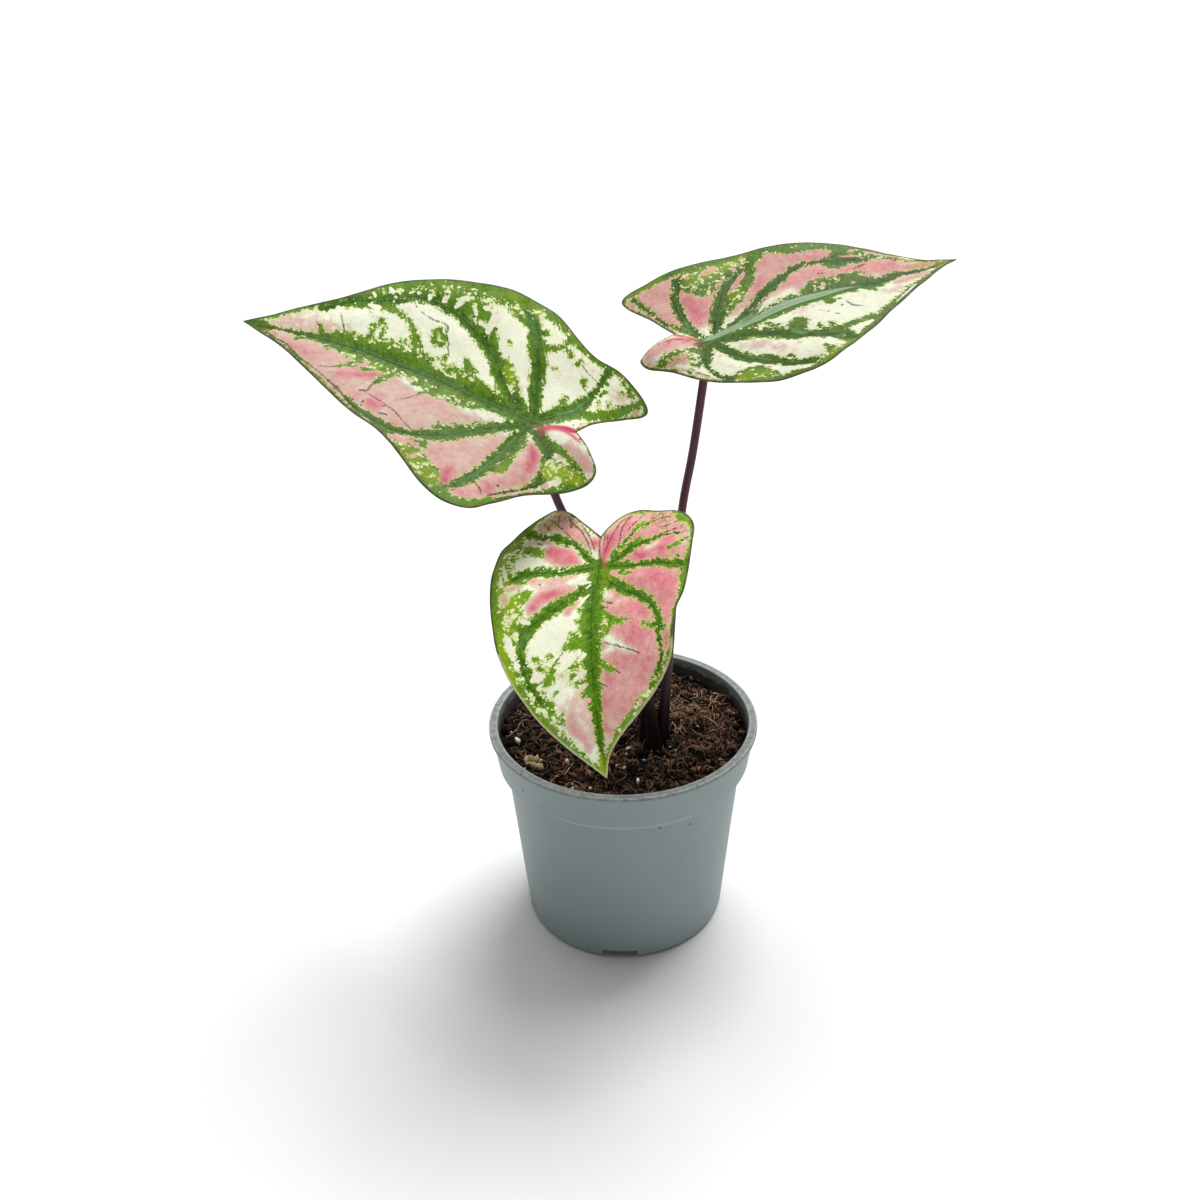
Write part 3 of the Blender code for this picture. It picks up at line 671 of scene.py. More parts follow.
def smooth_curve(points, per_span=16):
    """Points along a smooth curve through the given ones. From b to c, with a before and d after them, it is
    (2b + (c - a)u + (2a - 5b + 4c - d)u^2 + (3b - a - 3c + d)u^3) / 2, as u goes from 0 to 1."""
    points = np.asarray(points, float)
    padded = np.vstack([2 * points[0] - points[1], points, 2 * points[-1] - points[-2]])
    u = np.linspace(0, 1, per_span, endpoint=False)[None, :, None]
    a, b, c, d = (padded[i : len(points) - 1 + i, None] for i in range(4))
    span = 0.5 * (2 * b + (c - a) * u + (2 * a - 5 * b + 4 * c - d) * u**2 + (3 * b - a - 3 * c + d) * u**3)
    return np.vstack([span.reshape(-1, points.shape[1]), points[-1:]])


def along(curve, fractions, columns=3):
    """Points of a curve at the given fractions of its length, measured on its first columns."""
    strides = np.linalg.norm(np.diff(curve[:, :columns], axis=0), axis=1)
    lengths = np.concatenate([[0.0], np.cumsum(strides)])
    wanted = np.asarray(fractions) * lengths[-1]
    return np.stack([np.interp(wanted, lengths, curve[:, i]) for i in range(curve.shape[1])], axis=-1)


def blade_surface(leaf, s, t):
    """Middle surface of a blade, from s towards the tip and t across it, both from the joint. The height over
    the joint's plane is a fold sin(f)(sqrt(t^2 + 9) - 3), less a camber in t^2, plus a ripple that grows with
    t^2 and a swelling behind the joint; the whole is bent along s into an arc."""
    heading, rise, roll = (math.radians(leaf[key]) for key in ("heading", "rise", "roll"))
    ahead = np.array([math.cos(heading) * math.cos(rise), math.sin(heading) * math.cos(rise), math.sin(rise)])
    level = np.cross([0, 0, 1], ahead)
    level /= np.linalg.norm(level)
    across = math.cos(roll) * level + math.sin(roll) * np.cross(ahead, level)
    out = np.cross(ahead, across)
    fold = math.radians(leaf["fold"])
    bend = np.where(s > 0, leaf["bend_ahead"], leaf["bend_behind"])
    height, length, left_phase, right_phase = leaf["ripple"]
    phase = np.where(t > 0, left_phase, right_phase)
    ripple = height * (t / RIPPLE_REACH) ** 2 * np.sin(2 * np.pi * s / length + phase)
    folded = math.sin(fold) * (np.hypot(t, FOLD_SOFT) - FOLD_SOFT)
    raised = leaf["sinus_lift"] * np.exp(-((s + SINUS_BACK) ** 2 + t**2) / (2 * SINUS_SPREAD**2))
    lift = folded - leaf["camber"] * t**2 + ripple + raised
    turn = bend * s
    forward = np.sin(turn) / bend + np.sin(turn) * lift
    upward = (np.cos(turn) - 1) / bend + np.cos(turn) * lift
    sideways = t * math.cos(fold)
    level_place = np.array(leaf["joint"]) + forward[..., None] * ahead + sideways[..., None] * across
    return level_place + upward[..., None] * out


def blade_normal(leaf, s, t):
    """Unit normal of the middle surface, from the change over 0.05 mm either way along s and t."""
    d = 0.05
    normal = np.cross(
        blade_surface(leaf, s + d, t) - blade_surface(leaf, s - d, t),
        blade_surface(leaf, s, t + d) - blade_surface(leaf, s, t - d),
    )
    return normal / np.linalg.norm(normal, axis=-1, keepdims=True)


def stalk_surface(leaf):
    """A round stalk carried along its path. Its radius is the stalk's, more within the sheath, and up to 1.5
    times as much in the last 2.4 mm; there it is pressed flat under the blade. A low ridge marks the sheath's
    edge."""
    zero = np.zeros(1)
    joint, face = blade_surface(leaf, zero, zero)[0], blade_normal(leaf, zero, zero)[0]
    through = np.array(leaf["stalk"], float)
    foot = through[0] - (0, 0, BURIED_LENGTH)
    path = along(smooth_curve([foot, *through, joint - face * 0.25]), np.linspace(0, 1, 150))
    ahead = np.gradient(path, axis=0)
    ahead /= np.linalg.norm(ahead, axis=1, keepdims=True)
    side = np.cross(ahead, (0.0, 1.0, 0.0))
    side /= np.linalg.norm(side, axis=1, keepdims=True)
    rise = np.cross(side, ahead)
    above = np.clip((path[:, 2] - SOIL_LEVEL) / SHEATH_LENGTH, 0, 1)
    radius = SHEATH_RADIUS + (STALK_RADIUS - SHEATH_RADIUS) * above * (2 - above)
    left = np.linalg.norm(path - joint, axis=1)
    radius = radius * (1 + 0.5 * np.clip(1 - left / FLARE_LENGTH, 0, 1) ** 2)
    steps = 28
    angle = np.arange(steps)[None] * (2 * math.pi / steps)
    edge = np.exp(-(((angle - 1.1 - 0.9 * above[:, None]) / 0.16) ** 2)) * (1 - above[:, None]) ** 0.5
    reach = radius[:, None] * (1 + 0.012 * np.sin(7 * angle + 0.02 * path[:, 2:])) + 0.1 * edge
    ring = path[:, None] + reach[..., None] * (
        np.cos(angle)[..., None] * side[:, None] + np.sin(angle)[..., None] * rise[:, None]
    )
    above_face = (ring - joint) @ face
    ring = ring - np.clip(above_face + 0.1, 0, None)[..., None] * face * (left < 4)[:, None, None]
    count = len(path)
    i = np.arange(count - 1)[:, None] * steps
    j = np.arange(steps)[None]
    a, b = i + j, i + (j + 1) % steps
    walls = np.stack([a, b, b + steps, a + steps], -1).reshape(-1, 4).tolist()
    caps = [list(range(steps))[::-1], [(count - 1) * steps + k for k in range(steps)]]
    return ring.reshape(-1, 3), walls + caps, {
        "up": np.repeat(np.clip((path[:, 2] - SOIL_LEVEL) / 70.0, 0, 1), steps),
        "edge": edge.ravel(),
    }


def stalk_skin():
    """Dark purple skin, wine-red higher up and near-black near the soil, where the near-black is painted
    shade; with fine streaks along it, a painted highlight on the sheath's edge, and a wax-like gloss."""
    finish = Finish("dark purple stalk", Metallic=0.0, Specular_IOR_Level=0.35)
    place = finish.place()
    stretched = finish.node("ShaderNodeMapping", {}, {"Vector": place, "Scale": (2400.0, 2400.0, 170.0)})
    streak = finish.noise(stretched, 1.0, 3.0, 0.6)
    blotch = finish.noise(place, 240.0, 3.0, 0.6)
    up = finish.field("up")
    # Painted shade: the skin darkens to near-black towards the soil.
    wine = (up.rise(0.0, 0.45) * 0.85 + streak * 0.5 - 0.2).rise(0.0, 1.0)
    colour = finish.blend(shade(14, 5, 9), shade(76, 31, 45), wine)
    colour = finish.blend(colour, shade(40, 22, 30), blotch.rise(0.52, 0.7) * 0.5)
    # Painted highlight: a paler line along the sheath's edge.
    colour = finish.blend(colour, shade(120, 96, 112), finish.field("edge") * 0.55)
    return finish.surface(colour, 0.36 + 0.12 * blotch, streak, 0.03)


purple = stalk_skin()
for place, leaf in LEAVES.items():
    stalk_points, stalk_faces, stalk_fields = stalk_surface(leaf)
    stalk = mesh_piece(f"leaf_stalk_{place}", stalk_points, stalk_faces, purple, fields=stalk_fields)
    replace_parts(stalk, f"stalk_{place}")


# The leaf blades.
# Thin heart-shaped blades, peltate on their stalks: green along the veins and the border, and pink or cream
# where the leaf makes no chlorophyll. Veins sink a little into the upper face and stand out underneath.
#
# Each outline runs from the tip to the notch as (s, t, border), with s towards the tip and t across it,
# counted from the joint; border is the width of green along it. A stroke is a line of (s, t, half-width),
# as in ribs, greens and lines. A wash is (amount, softness, stroke): it takes its field towards that
# amount, as in pale, pink, rose and the fields after them; the bluish washes are a painted sheen. Tone is
# painted light and shade, a brightness for each half of a leaf, and the next number is painted shade that
# dims its greens.

VEIN_ROOTS = (1.0, 0.83, 0.66, 0.50, 0.35, 0.21, 0.09, 0.0, 0.0, 0.0, 0.0)
VEIN_ENDS = (0.0, 0.05, 0.12, 0.21, 0.31, 0.41, 0.51, 0.64, 0.77, 0.89, 1.0)
VEIN_BOWS = (0.09, 0.09, 0.09, 0.09, 0.09, 0.09, 0.04, 0.0, 0.0, 0.0, 0.0)
COLUMNS = 440
UPPER_ROWS = 92
LOWER_ROWS = 10
THICK_MIDDLE = 0.34
THICK_EDGE = 0.2
EDGE_OUT = 0.09
PUCKER = 0.35
SWELLING = 0.14
RIB_RIDGE = 0.75

LEAVES["left"].update(
    # Painted light and shade for this leaf: the brightness of each half, then the dimming of its greens.
    tone=(1.07, 0.83),
    deep=0.78,
    tip=(59.5, 0, 0.8),
    sinus=(-7.5, -1.5, 0.2),
    left_edge=[
        (49.3, 5, 0.5), (39.5, 11.4, 0.3), (31.2, 17, 0.7), (25.5, 19.1, 1.4), (20, 22.5, 1.6),
        (14.7, 26.8, 2), (9.6, 29.5, 1.8), (5.5, 28.9, 1.7), (2, 25, 1.1), (-3, 18.7, 1), (-9, 13.7, 1.3),
        (-13.2, 8.6, 0.7), (-14, 4, 0.3), (-11.3, 1.2, 0.1),
    ],
    right_edge=[
        (51.5, -5, 0.8), (43.5, -10.2, 1), (35.5, -17.3, 2.2), (28.5, -20.7, 2.8), (21, -23.2, 3.6),
        (13.5, -26, 3.6), (5.7, -25.2, 1.9), (-0.7, -21.6, 1.7), (-5.5, -19.9, 1.2), (-10.8, -20.4, 1.1),
        (-15, -19.2, 1), (-19, -16.5, 1), (-19.1, -14.1, 0.5), (-15.5, -10.9, 0.4), (-10.5, -6.2, 0),
    ],
    ribs=[
        [(0, 0, 1.4), (5, 0.1, 1.9), (10, 0.3, 2), (15, 0.4, 2.3), (22, 0.3, 2), (30, 0.1, 2),
         (38, -0.2, 1.7), (43, 0, 1), (48, 0.2, 0.6), (52, 0.2, 0.1), (55.5, 0.3, 1.3), (59.5, 0, 2)],
        [(4, -1.5, 1.5), (7, -4, 1.9), (9.5, -6.5, 1.9), (12, -9.3, 1.4), (14.5, -11, 1.3), (17, -12.8, 1.3),
         (19.5, -14, 1.2), (22, -15, 1.1), (25, -15.6, 0.9), (28, -15.9, 0.9), (31, -15.5, 1.2),
         (34, -13.6, 1.4), (37, -12, 1.9), (40, -11, 1.8), (43, -9, 1), (46, -6.6, 0.4)],
        [(1, -1.8, 1), (2, -5, 1.2), (3, -8, 1.3), (4, -12, 1.4), (5.5, -15, 1.6), (6.8, -18, 1.4),
         (8.6, -21, 1.4), (11, -24, 2)],
        [(-0.5, -1.2, 1.3), (-3, -3.5, 1.7), (-5.5, -6, 1.6), (-6.6, -8.5, 1.3), (-7.5, -11, 0.8),
         (-8.3, -14, 0.4), (-8.5, -17, 0.6), (-9, -18.8, 0.9)],
        [(2, 1.2, 1), (3.5, 3, 1.1), (6, 5.2, 1.1), (9, 8, 1.4), (12, 11, 1.5), (14.5, 13.5, 1.6),
         (17, 15.3, 1.3), (20, 16.7, 0.8), (23, 17.6, 0.7), (26, 17.4, 0.9), (28.5, 16.8, 0.7),
         (31, 15.6, 0.5), (33, 14, 0.2)],
        [(0.9, 1.5, 1), (1.8, 3.5, 0.7), (2.6, 6.5, 1), (3.3, 9.5, 1.1), (4, 12.5, 1), (4.8, 15, 1),
         (5.7, 18, 0.9), (7, 21, 0.8), (8.3, 23.5, 0.8), (9.5, 25.4, 0.5)],
        [(-1, 2.6, 1.2), (-2.7, 4.4, 1.5), (-4.3, 6.2, 0.9), (-4.1, 9, 0.5), (-4.2, 12, 0.5),
         (-4.3, 14.4, 0.5), (-3, 16.6, 0.4), (-1, 19, 0.3), (2, 22.6, 0.2)],
    ],
    greens=[
        [(10, 2, 0.7), (14, 2.8, 1.8), (17, 2.8, 2.1), (20.5, 2.8, 2.1), (22.3, 1.8, 1.5), (25, 1.4, 1.2),
         (28, 2, 1.5), (31, 2.3, 1.8), (34, 1.5, 1.4), (37.5, 1.4, 1.3), (40, 0.7, 0.8), (43, 0.6, 0.5)],
        [(28, 3.8, 0.7), (29.3, 6.4, 0.5), (30, 8, 0.2)], [(32, 4, 0.8), (33, 5.2, 0.4)],
        [(35.2, 3, 0.6), (35.8, 4.6, 0.5), (37.3, 6.1, 0.2)], [(41.4, 1.4, 0.5), (41.6, 2.3, 0.2)],
        [(46.8, 0.8, 0.5), (47.6, 1.8, 0.3)], [(20.8, 4.4, 0.5), (21.9, 5.8, 0.2)],
        [(23.3, 3.2, 0.3), (23.6, 4, 0.2)],
        [(3, -1.2, 0.9), (6, -2, 1.6), (9, -1.6, 1), (12, -2, 1.1), (15, -2.2, 1.4), (18, -2.2, 1.6),
         (20.5, -1.6, 1.1), (23, -1.7, 1.4), (26, -2.6, 2), (30, -2.2, 2), (33, -2.2, 2), (36, -1.6, 1.6),
         (40, -1.6, 1.5), (43, -0.8, 0.8)], [(15.4, -4.6, 1), (16.5, -5.9, 0.6)],
        [(20.7, -3.2, 0.6), (20.9, -5.1, 0.4)],
        [(26.4, -4.6, 1), (27.4, -6.6, 0.8), (28.2, -8, 0.4), (30, -9.8, 0.3), (32.3, -10.9, 0.4),
         (34.5, -11.4, 1.2)], [(29, -4.8, 0.7)], [(35.2, -4, 0.4), (35.5, -6.1, 0.6)],
        [(44, -1.6, 0.4), (44.8, -2.6, 0.3)], [(33.2, -4.6, 0.2), (33.9, -7, 0.45), (34.7, -7.9, 0.35)],
        [(18.8, -3.9, 0.5)], [(6, -4, 0.7), (7.3, -6, 1), (8.8, -7.8, 1), (10, -9.7, 0.5)],
        [(12.8, -11, 0.6), (14.1, -13.2, 0.8), (14.5, -15, 0.3)],
        [(22, -7.6, 0.35), (23.6, -7.2, 0.4), (24.2, -8.8, 0.45), (24.2, -10, 0.4), (23, -9.6, 0.35),
         (22.3, -8.6, 0.35)], [(4.5, -16.2, 0.8), (2.5, -17.3, 0.45), (1, -19, 0.3), (0.6, -20.4, 0.5)],
        [(-1, -17.1, 0.3), (0.2, -17.9, 0.55)], [(-2.9, -17, 0.25), (-2.3, -16.3, 0.25)],
        [(-5.7, -12.5, 0.15), (-5.2, -13.4, 0.6), (-4.8, -14, 0.2)], [(0.9, -12.9, 0.28)], [(10.8, -14, 0.3)],
        [(-3.1, -5, 0.55), (-3, -8.3, 0.5)],
        [(-5, -4.5, 1), (-9, -7.4, 0.9), (-12, -9.7, 0.9), (-14.3, -12, 0.9), (-15.8, -13.9, 0.6),
         (-16.9, -15.6, 0.6)], [(-9.9, -10.2, 0.25)], [(-9.3, -11.2, 0.3)],
        [(-11.5, -11.3, 0.25), (-11.3, -12.4, 0.2)], [(-13.4, -12.8, 0.25)],
        [(-9.3, -13.2, 0.3), (-10, -14.3, 0.15)], [(-9.2, -16, 0.35)], [(-13, -16.2, 0.25)],
        [(-15, -17, 0.5), (-12, -18.6, 0.35)], [(13, 9.7, 0.45), (15.4, 11.7, 0.6), (17, 12.6, 0.4)],
        [(6.1, 8.6, 0.2)], [(5.2, -20, 0.3), (5.6, -19, 0.5)],
        [(1, 4.5, 0.6), (1.4, 7, 0.8), (2, 10, 0.6), (2.3, 13, 0.7), (3, 15.5, 1), (4, 17, 0.9)],
        [(-3, 4.3, 1.1), (-5.5, 4.6, 1), (-8, 5.7, 0.6), (-11, 6.6, 0.4)],
        [(-7, 8.5, 1.3), (-10.5, 9, 1.3), (-6.2, 10.5, 1.2)],
        [(12.8, 25, 0.6), (14.5, 24, 1.7), (17.2, 22, 1.6), (18.6, 20, 1.4), (17.3, 18.3, 0.9),
         (21, 21, 0.6), (23, 18.6, 0.7)], [(9.8, 28, 0.8), (11, 26.8, 0.7), (9.6, 25.9, 0.3)],
        [(17, -17, 1.2), (20, -18, 2.2), (24, -18, 2.2), (29, -17.2, 2), (33, -16, 1.6)],
        [(13, -21.5, 0.6), (9.5, -20, 0.8)], [(-11.5, 8, 1.2), (-9, 10.5, 1.6), (-6, 10.5, 1.6)],
        [(-5, 13, 0.6), (-2.6, 17.6, 0.7), (0.6, 21.4, 0.5)],
    ],
    pale=[
        (0.7, 0.5, [(17.4, -1.8, 0.2), (19.5, -1.7, 0.3), (20.8, -2.5, 0.3), (21.6, -3.3, 0.3)]),
        (0.7, 0.4, [(25.4, -2.9, 0.3)]), (0.7, 0.4, [(27.2, -3.5, 0.3), (28.3, -4, 0.25)]),
        (0.9, 0.4, [(18.8, -16.5, 0.3), (19.8, -18.2, 0.5)]), (0.9, 0.4, [(17.6, -18.6, 0.6)]),
        (0.9, 0.4, [(22.8, -16.3, 0.3), (22, -18.2, 0.8), (21.2, -19.2, 0.3)]),
        (0.9, 0.4, [(25.2, -16.6, 0.5), (25.1, -18.3, 0.7)]),
        (0.9, 0.4, [(28, -15.9, 0.3), (28.1, -17.5, 0.7)]), (0.9, 0.4, [(30.2, -16.5, 0.3)]),
        (0.9, 0.4, [(31.4, -16.3, 0.3)]), (0.9, 0.4, [(21.3, -21.3, 0.3)]), (0.8, 0.4, [(23.9, -20.4, 0.2)]),
        (0.9, 0.4, [(35.1, -15.2, 0.4), (35.9, -15.8, 0.2)]),
        (0.9, 0.4, [(37.7, -12.9, 0.3), (38.3, -13.5, 0.3)]),
        (0.9, 0.4, [(36.3, -10.5, 0.6), (38, -10.6, 0.3)]), (0.8, 0.4, [(43.2, -8, 0.4)]),
        (0.9, 0.5, [(15.6, -14, 0.3), (15.4, -16.5, 0.6), (15.6, -19.4, 0.5)]),
        (0.9, 0.4, [(-8, 11, 0.5), (-7.3, 12.3, 0.6)]), (0.9, 0.4, [(-6.5, 13.1, 0.3), (-5.8, 14.3, 0.5)]),
        (0.9, 0.4, [(-7.4, 6.1, 0.3), (-5.6, 5.8, 0.25)]), (0.9, 0.4, [(17.3, 21.5, 0.4), (18.5, 22.4, 0.3)]),
        (0.9, 0.4, [(18.2, 19.2, 0.6), (20, 18.9, 0.5), (22.8, 19.6, 0.5)]),
        (0.8, 0.4, [(27, 18.4, 0.3), (28.3, 17.9, 0.3)]), (0.8, 0.4, [(12.8, 27, 0.4)]),
        (0.8, 0.4, [(13.8, 10.6, 0.25), (15.5, 10.4, 0.3)]),
        (0.7, 0.4, [(-5, 15.6, 0.2), (-2, 18.6, 0.2), (2, 23.2, 0.2)]),
        (0.8, 0.4, [(0.7, 12, 0.2), (1.3, 14.3, 0.35)]), (0.7, 0.3, [(14.9, 3.9, 0.25)]),
        (0.7, 0.3, [(14.4, 2.6, 0.2)]), (0.7, 0.3, [(17.5, 2.3, 0.2)]), (0.7, 0.3, [(18.9, 3.5, 0.25)]),
        (0.7, 0.3, [(21.2, 2.7, 0.2), (22.2, 1.6, 0.25)]), (0.7, 0.3, [(24.4, 2, 0.3)]),
        (0.7, 0.3, [(28.2, 1.4, 0.25), (28.3, 2.8, 0.2)]), (0.8, 0.4, [(33.3, 2.6, 0.5), (33.4, 4.2, 0.3)]),
    ],
    pink=[
        (0.46, 4.0, [(25, 14, 14), (5, 20, 12), (48, 4, 9)]),
        (0.72, 1.5, [(5.5, 24.5, 0.8), (7, 26, 1.6), (9, 26, 1)]), (1.0, 1.2, [(11, 25, 1.1), (11.3, 22, 1)]),
        (0.58, 1.5, [(14, 21, 1.2), (14.5, 18.5, 0.8)]), (0.85, 1.2, [(3.2, 23, 0.8), (4.2, 21.5, 0.9)]),
        (1.0, 1.4, [(-1.6, 12.6, 0.8), (-1.8, 11, 1.1), (-1.6, 8, 1.4), (-0.8, 6.4, 0.8)]),
        (0.65, 1.5, [(1, 19, 0.9), (-1.2, 16, 1)]), (0.95, 1.4, [(28, 13.6, 1.2)]),
        (0.6, 1.2, [(31.8, 13.2, 0.8)]), (0.7, 1.2, [(23.4, 16.2, 0.5)]),
        (0.9, 1.4, [(30.5, 5.6, 0.7), (33, 7, 0.9), (36.5, 8.3, 0.9)]),
        (0.48, 1.5, [(39, 5, 1.6), (42, 5.5, 1.6)]), (0.62, 1.5, [(44, 5, 1.2), (48, 4, 1.2)]),
        (0.62, 1, [(18.2, 19.2, 0.6), (22.8, 19.6, 0.5)]), (0.5, 1, [(13, 27, 0.6)]),
        (0.08, 1.5, [(2, 3, 0.6), (4, 6, 0.6)]), (0.1, 2, [(7, 2, 0.5), (11, 3.6, 0.8), (14, 5, 0.5)]),
        (0.1, 1.6, [(21.8, 4.6, 0.8), (26, 3.4, 0.8)]), (0.1, 1.4, [(7, 22, 0.4), (5.4, 18, 0.4)]),
        (0.3, 2, [(47, -2.5, 1.6), (52, -1.6, 1.2)]), (0.32, 1.5, [(-12.5, -14.5, 1.8), (-14, -15.8, 1)]),
        (0.7, 1, [(-17, -14, 0.7)]), (0.22, 2, [(-7, -16.8, 1), (-1, -18.3, 1)]),
        (0.25, 1.5, [(15.5, -14, 0.7), (15.5, -19, 0.7)]), (0.5, 1.6, [(-12, 4.6, 1.8), (-8, 3.4, 1.8)]),
        (0.72, 1, [(-11.4, 5.1, 0.4)]), (0.6, 1, [(-7, 3.4, 0.7)]),
        (0.02, 0.9, [(-5.4, 1.6, 0.7), (-3.6, 1.6, 0.6)]), (0.5, 0.8, [(-5.9, 14.2, 0.6)]),
        (0.5, 0.8, [(-6.4, 5.9, 0.4)]), (0.18, 1.5, [(2.5, -3, 0.8), (4, -7, 0.8)]),
    ],
    rose=[
        (1.0, 0.8, [(-7.4, -1.3, 0.5), (-5.8, -1, 0.8), (-4.3, -0.7, 0.6), (-2.4, -0.2, 0.4)]),
        (0.9, 1.2, [(-8.7, 0.7, 0.3), (-7, 0.1, 0.5), (-5, -0.2, 0.4), (-3, 0.1, 0.6), (-1.6, 0.9, 1),
         (-1.6, 2.3, 0.6)]), (0.45, 0.8, [(-7.7, -2, 0.4), (-7.9, -3.4, 0.2)]),
        (0.6, 0.9, [(-0.3, 0.7, 0.8)]),
    ],
    fleck=[
        (0.9, 1.5, [(14, 24.5, 1.6), (17.5, 22, 2), (18.5, 19.5, 1.2), (22, 21, 0.8)]),
        (1.0, 1.5, [(-6, 9.5, 2.4), (-11, 8.5, 1.2)]), (0.6, 1, [(-5, 16, 0.8), (1, 21.5, 0.7)]),
        (0.9, 1, [(6.5, -4.5, 0.9), (8.8, -8, 1.2)]),
        (0.9, 2, [(8, -23.5, 1.6), (17, -20, 2), (27, -18.6, 1.8), (36, -13.5, 1.2), (43, -9.5, 0.8)]),
        (0.7, 1, [(9.5, 7, 0.6), (16.5, 12, 1)]),
        (0.8, 1.5, [(10, 2.4, 0.6), (14, 3.2, 1.2), (20, 3.6, 1.4), (26, 2.6, 1.2), (32, 3, 1.4),
         (38, 2.4, 0.8)]),
        (0.8, 1.5, [(10, -2.6, 0.6), (16, -3.2, 1.2), (22, -3, 1.2), (28, -3.8, 1.2), (34, -3, 1),
         (41, -2.4, 0.6)]), (0.6, 1, [(-12, -18.6, 0.8), (-15.5, -16, 0.8)]),
        (0.6, 1, [(0, -20.8, 0.7), (4, -24, 0.8)]),
    ],
    yellow=[
        (1.0, 1.5, [(-6, 10, 2.4), (-11, 8.6, 1.2)]), (0.9, 1, [(7.5, -6, 0.8), (9, -8.3, 1)]),
        (0.5, 1, [(3, 16, 0.8)]), (0.25, 1, [(44, 8, 0.8), (39, 10.8, 0.8), (34, 14.2, 0.6)]),
        (0.6, 1.5, [(31.5, 3, 0.9)]), (0.5, 1.2, [(21, -3, 0.6)]),
        (0.6, 1.5, [(13, 25, 1.4), (19, 21.5, 1.4)]), (0.4, 1, [(8, -23.5, 1), (14, -24.5, 1)]),
    ],
    # Painted sheen: where the green takes a pale bluish reflection.
    blue=[
        (0.4, 1, [(2.4, 6, 0.35), (3.6, 11, 0.4), (5, 16, 0.4), (7, 21, 0.4), (8.6, 24.4, 0.3)]),
        (0.2, 0.9, [(2, 0.4, 0.6), (14, 0.4, 0.3)]), (0.2, 0.9, [(9, 8.3, 0.5), (15, 13.6, 0.6)]),
        (0.4, 1.4, [(-3.5, -3.8, 0.5), (-6.3, -7.6, 0.6), (-7.5, -11, 0.2)]), (0.15, 0.9, [(3.3, -9, 0.4)]),
        (0.3, 0.9, [(6, -16, 0.6), (9, -21.5, 0.6)]), (0.15, 1, [(6, -3.6, 0.7), (9, -6, 0.7)]),
        (0.4, 1, [(-17.4, -16.4, 0.5), (-14, -11.8, 0.5)]),
    ],
    tan=[
        (0.7, 1, [(52, 2, 0.7), (55, 0.8, 0.8)]),
        (0.8, 0.9, [(55, 2, 0.5), (45, 8.2, 0.6), (38, 12, 0.6), (32, 16, 0.5)]),
        (0.5, 1.2, [(17.5, 21.5, 1), (19.5, 19, 0.8)]),
        (0.6, 0.6, [(-6.4, -2.6, 0.2), (-11, -7, 0.2), (-16, -11.9, 0.2)]),
        (0.5, 0.7, [(-13.4, 4, 0.3), (-11, 1.6, 0.3)]), (0.4, 0.8, [(-14.5, -16, 0.8)]),
        (0.5, 0.6, [(0.9, 13.6, 0.3)]),
    ],
    lines=[
        [(20, 15.8, 0.1), (22, 14.8, 0.1), (24, 13.4, 0.12), (26.5, 12.4, 0.1), (29, 11.6, 0.1), (32, 11, 0)],
        [(30.3, 8.4, 0.12), (30.4, 10.4, 0.2), (31.4, 11.2, 0.2)], [(29.9, 13.6, 0.25), (29.9, 15, 0.12)],
        [(30.3, 8.4, 0.1), (29.6, 6.8, 0.15)], [(21.9, 5.8, 0.12), (22.8, 7.6, 0.1), (25.5, 10.6, 0)],
        [(25.1, 14.9, 0.2), (26.6, 15.2, 0.12)], [(25.9, 12.6, 0.1), (26.5, 13.2, 0.15)],
        [(20.2, -5.6, 0.1), (22, -9.4, 0.1), (22.9, -11.6, 0.16), (25.6, -11.7, 0.12), (28.6, -12.5, 0.05)],
        [(29.5, -13.2, 0.16), (30.2, -14.2, 0.1)], [(24, -14, 0.12), (26.5, -14.5, 0.12)],
        [(40.2, -3.2, 0.12), (41.2, -5.2, 0.1), (42.3, -6.8, 0.05)], [(45, -2.8, 0.12), (46.6, -4, 0)],
        [(33.4, -9.1, 0), (34.7, -8, 0.1), (37.2, -9, 0.05)],
        [(37.3, 6.1, 0.12), (38.6, 7.4, 0.1), (41, 8, 0)],
        [(-8, -15.3, 0.1), (-5, -15.8, 0.12), (-3.2, -16.8, 0.15)], [(-1.6, -15.2, 0.12), (-2, -16, 0.1)],
        [(48, 0.4, 0.2), (51, 0.3, 0.16), (55, 0.2, 0.1)],
        [(4.4, 24.6, 0.14), (5.2, 23.3, 0.18), (6.3, 22.3, 0.15)], [(2.4, 20.4, 0.3)],
        [(30.5, 16.2, 0.2), (33, 14.2, 0.15), (35.5, 12.3, 0.22), (38, 10.7, 0.12), (42, 8.3, 0.14),
         (45, 6.8, 0.16), (48, 4.6, 0.14), (49.2, 3.8, 0.2), (51.5, 3, 0.14), (54, 1.6, 0.2)],
        [(35.5, 12.3, 0.5)], [(12.8, 22.8, 0.12), (14.6, 22.4, 0.1)],
        [(-3.6, 15.6, 0.12), (-1.2, 18.6, 0.1), (3.4, 24, 0.12)], [(39, 2.2, 0.14), (39.6, 1.6, 0.2)],
    ],
)

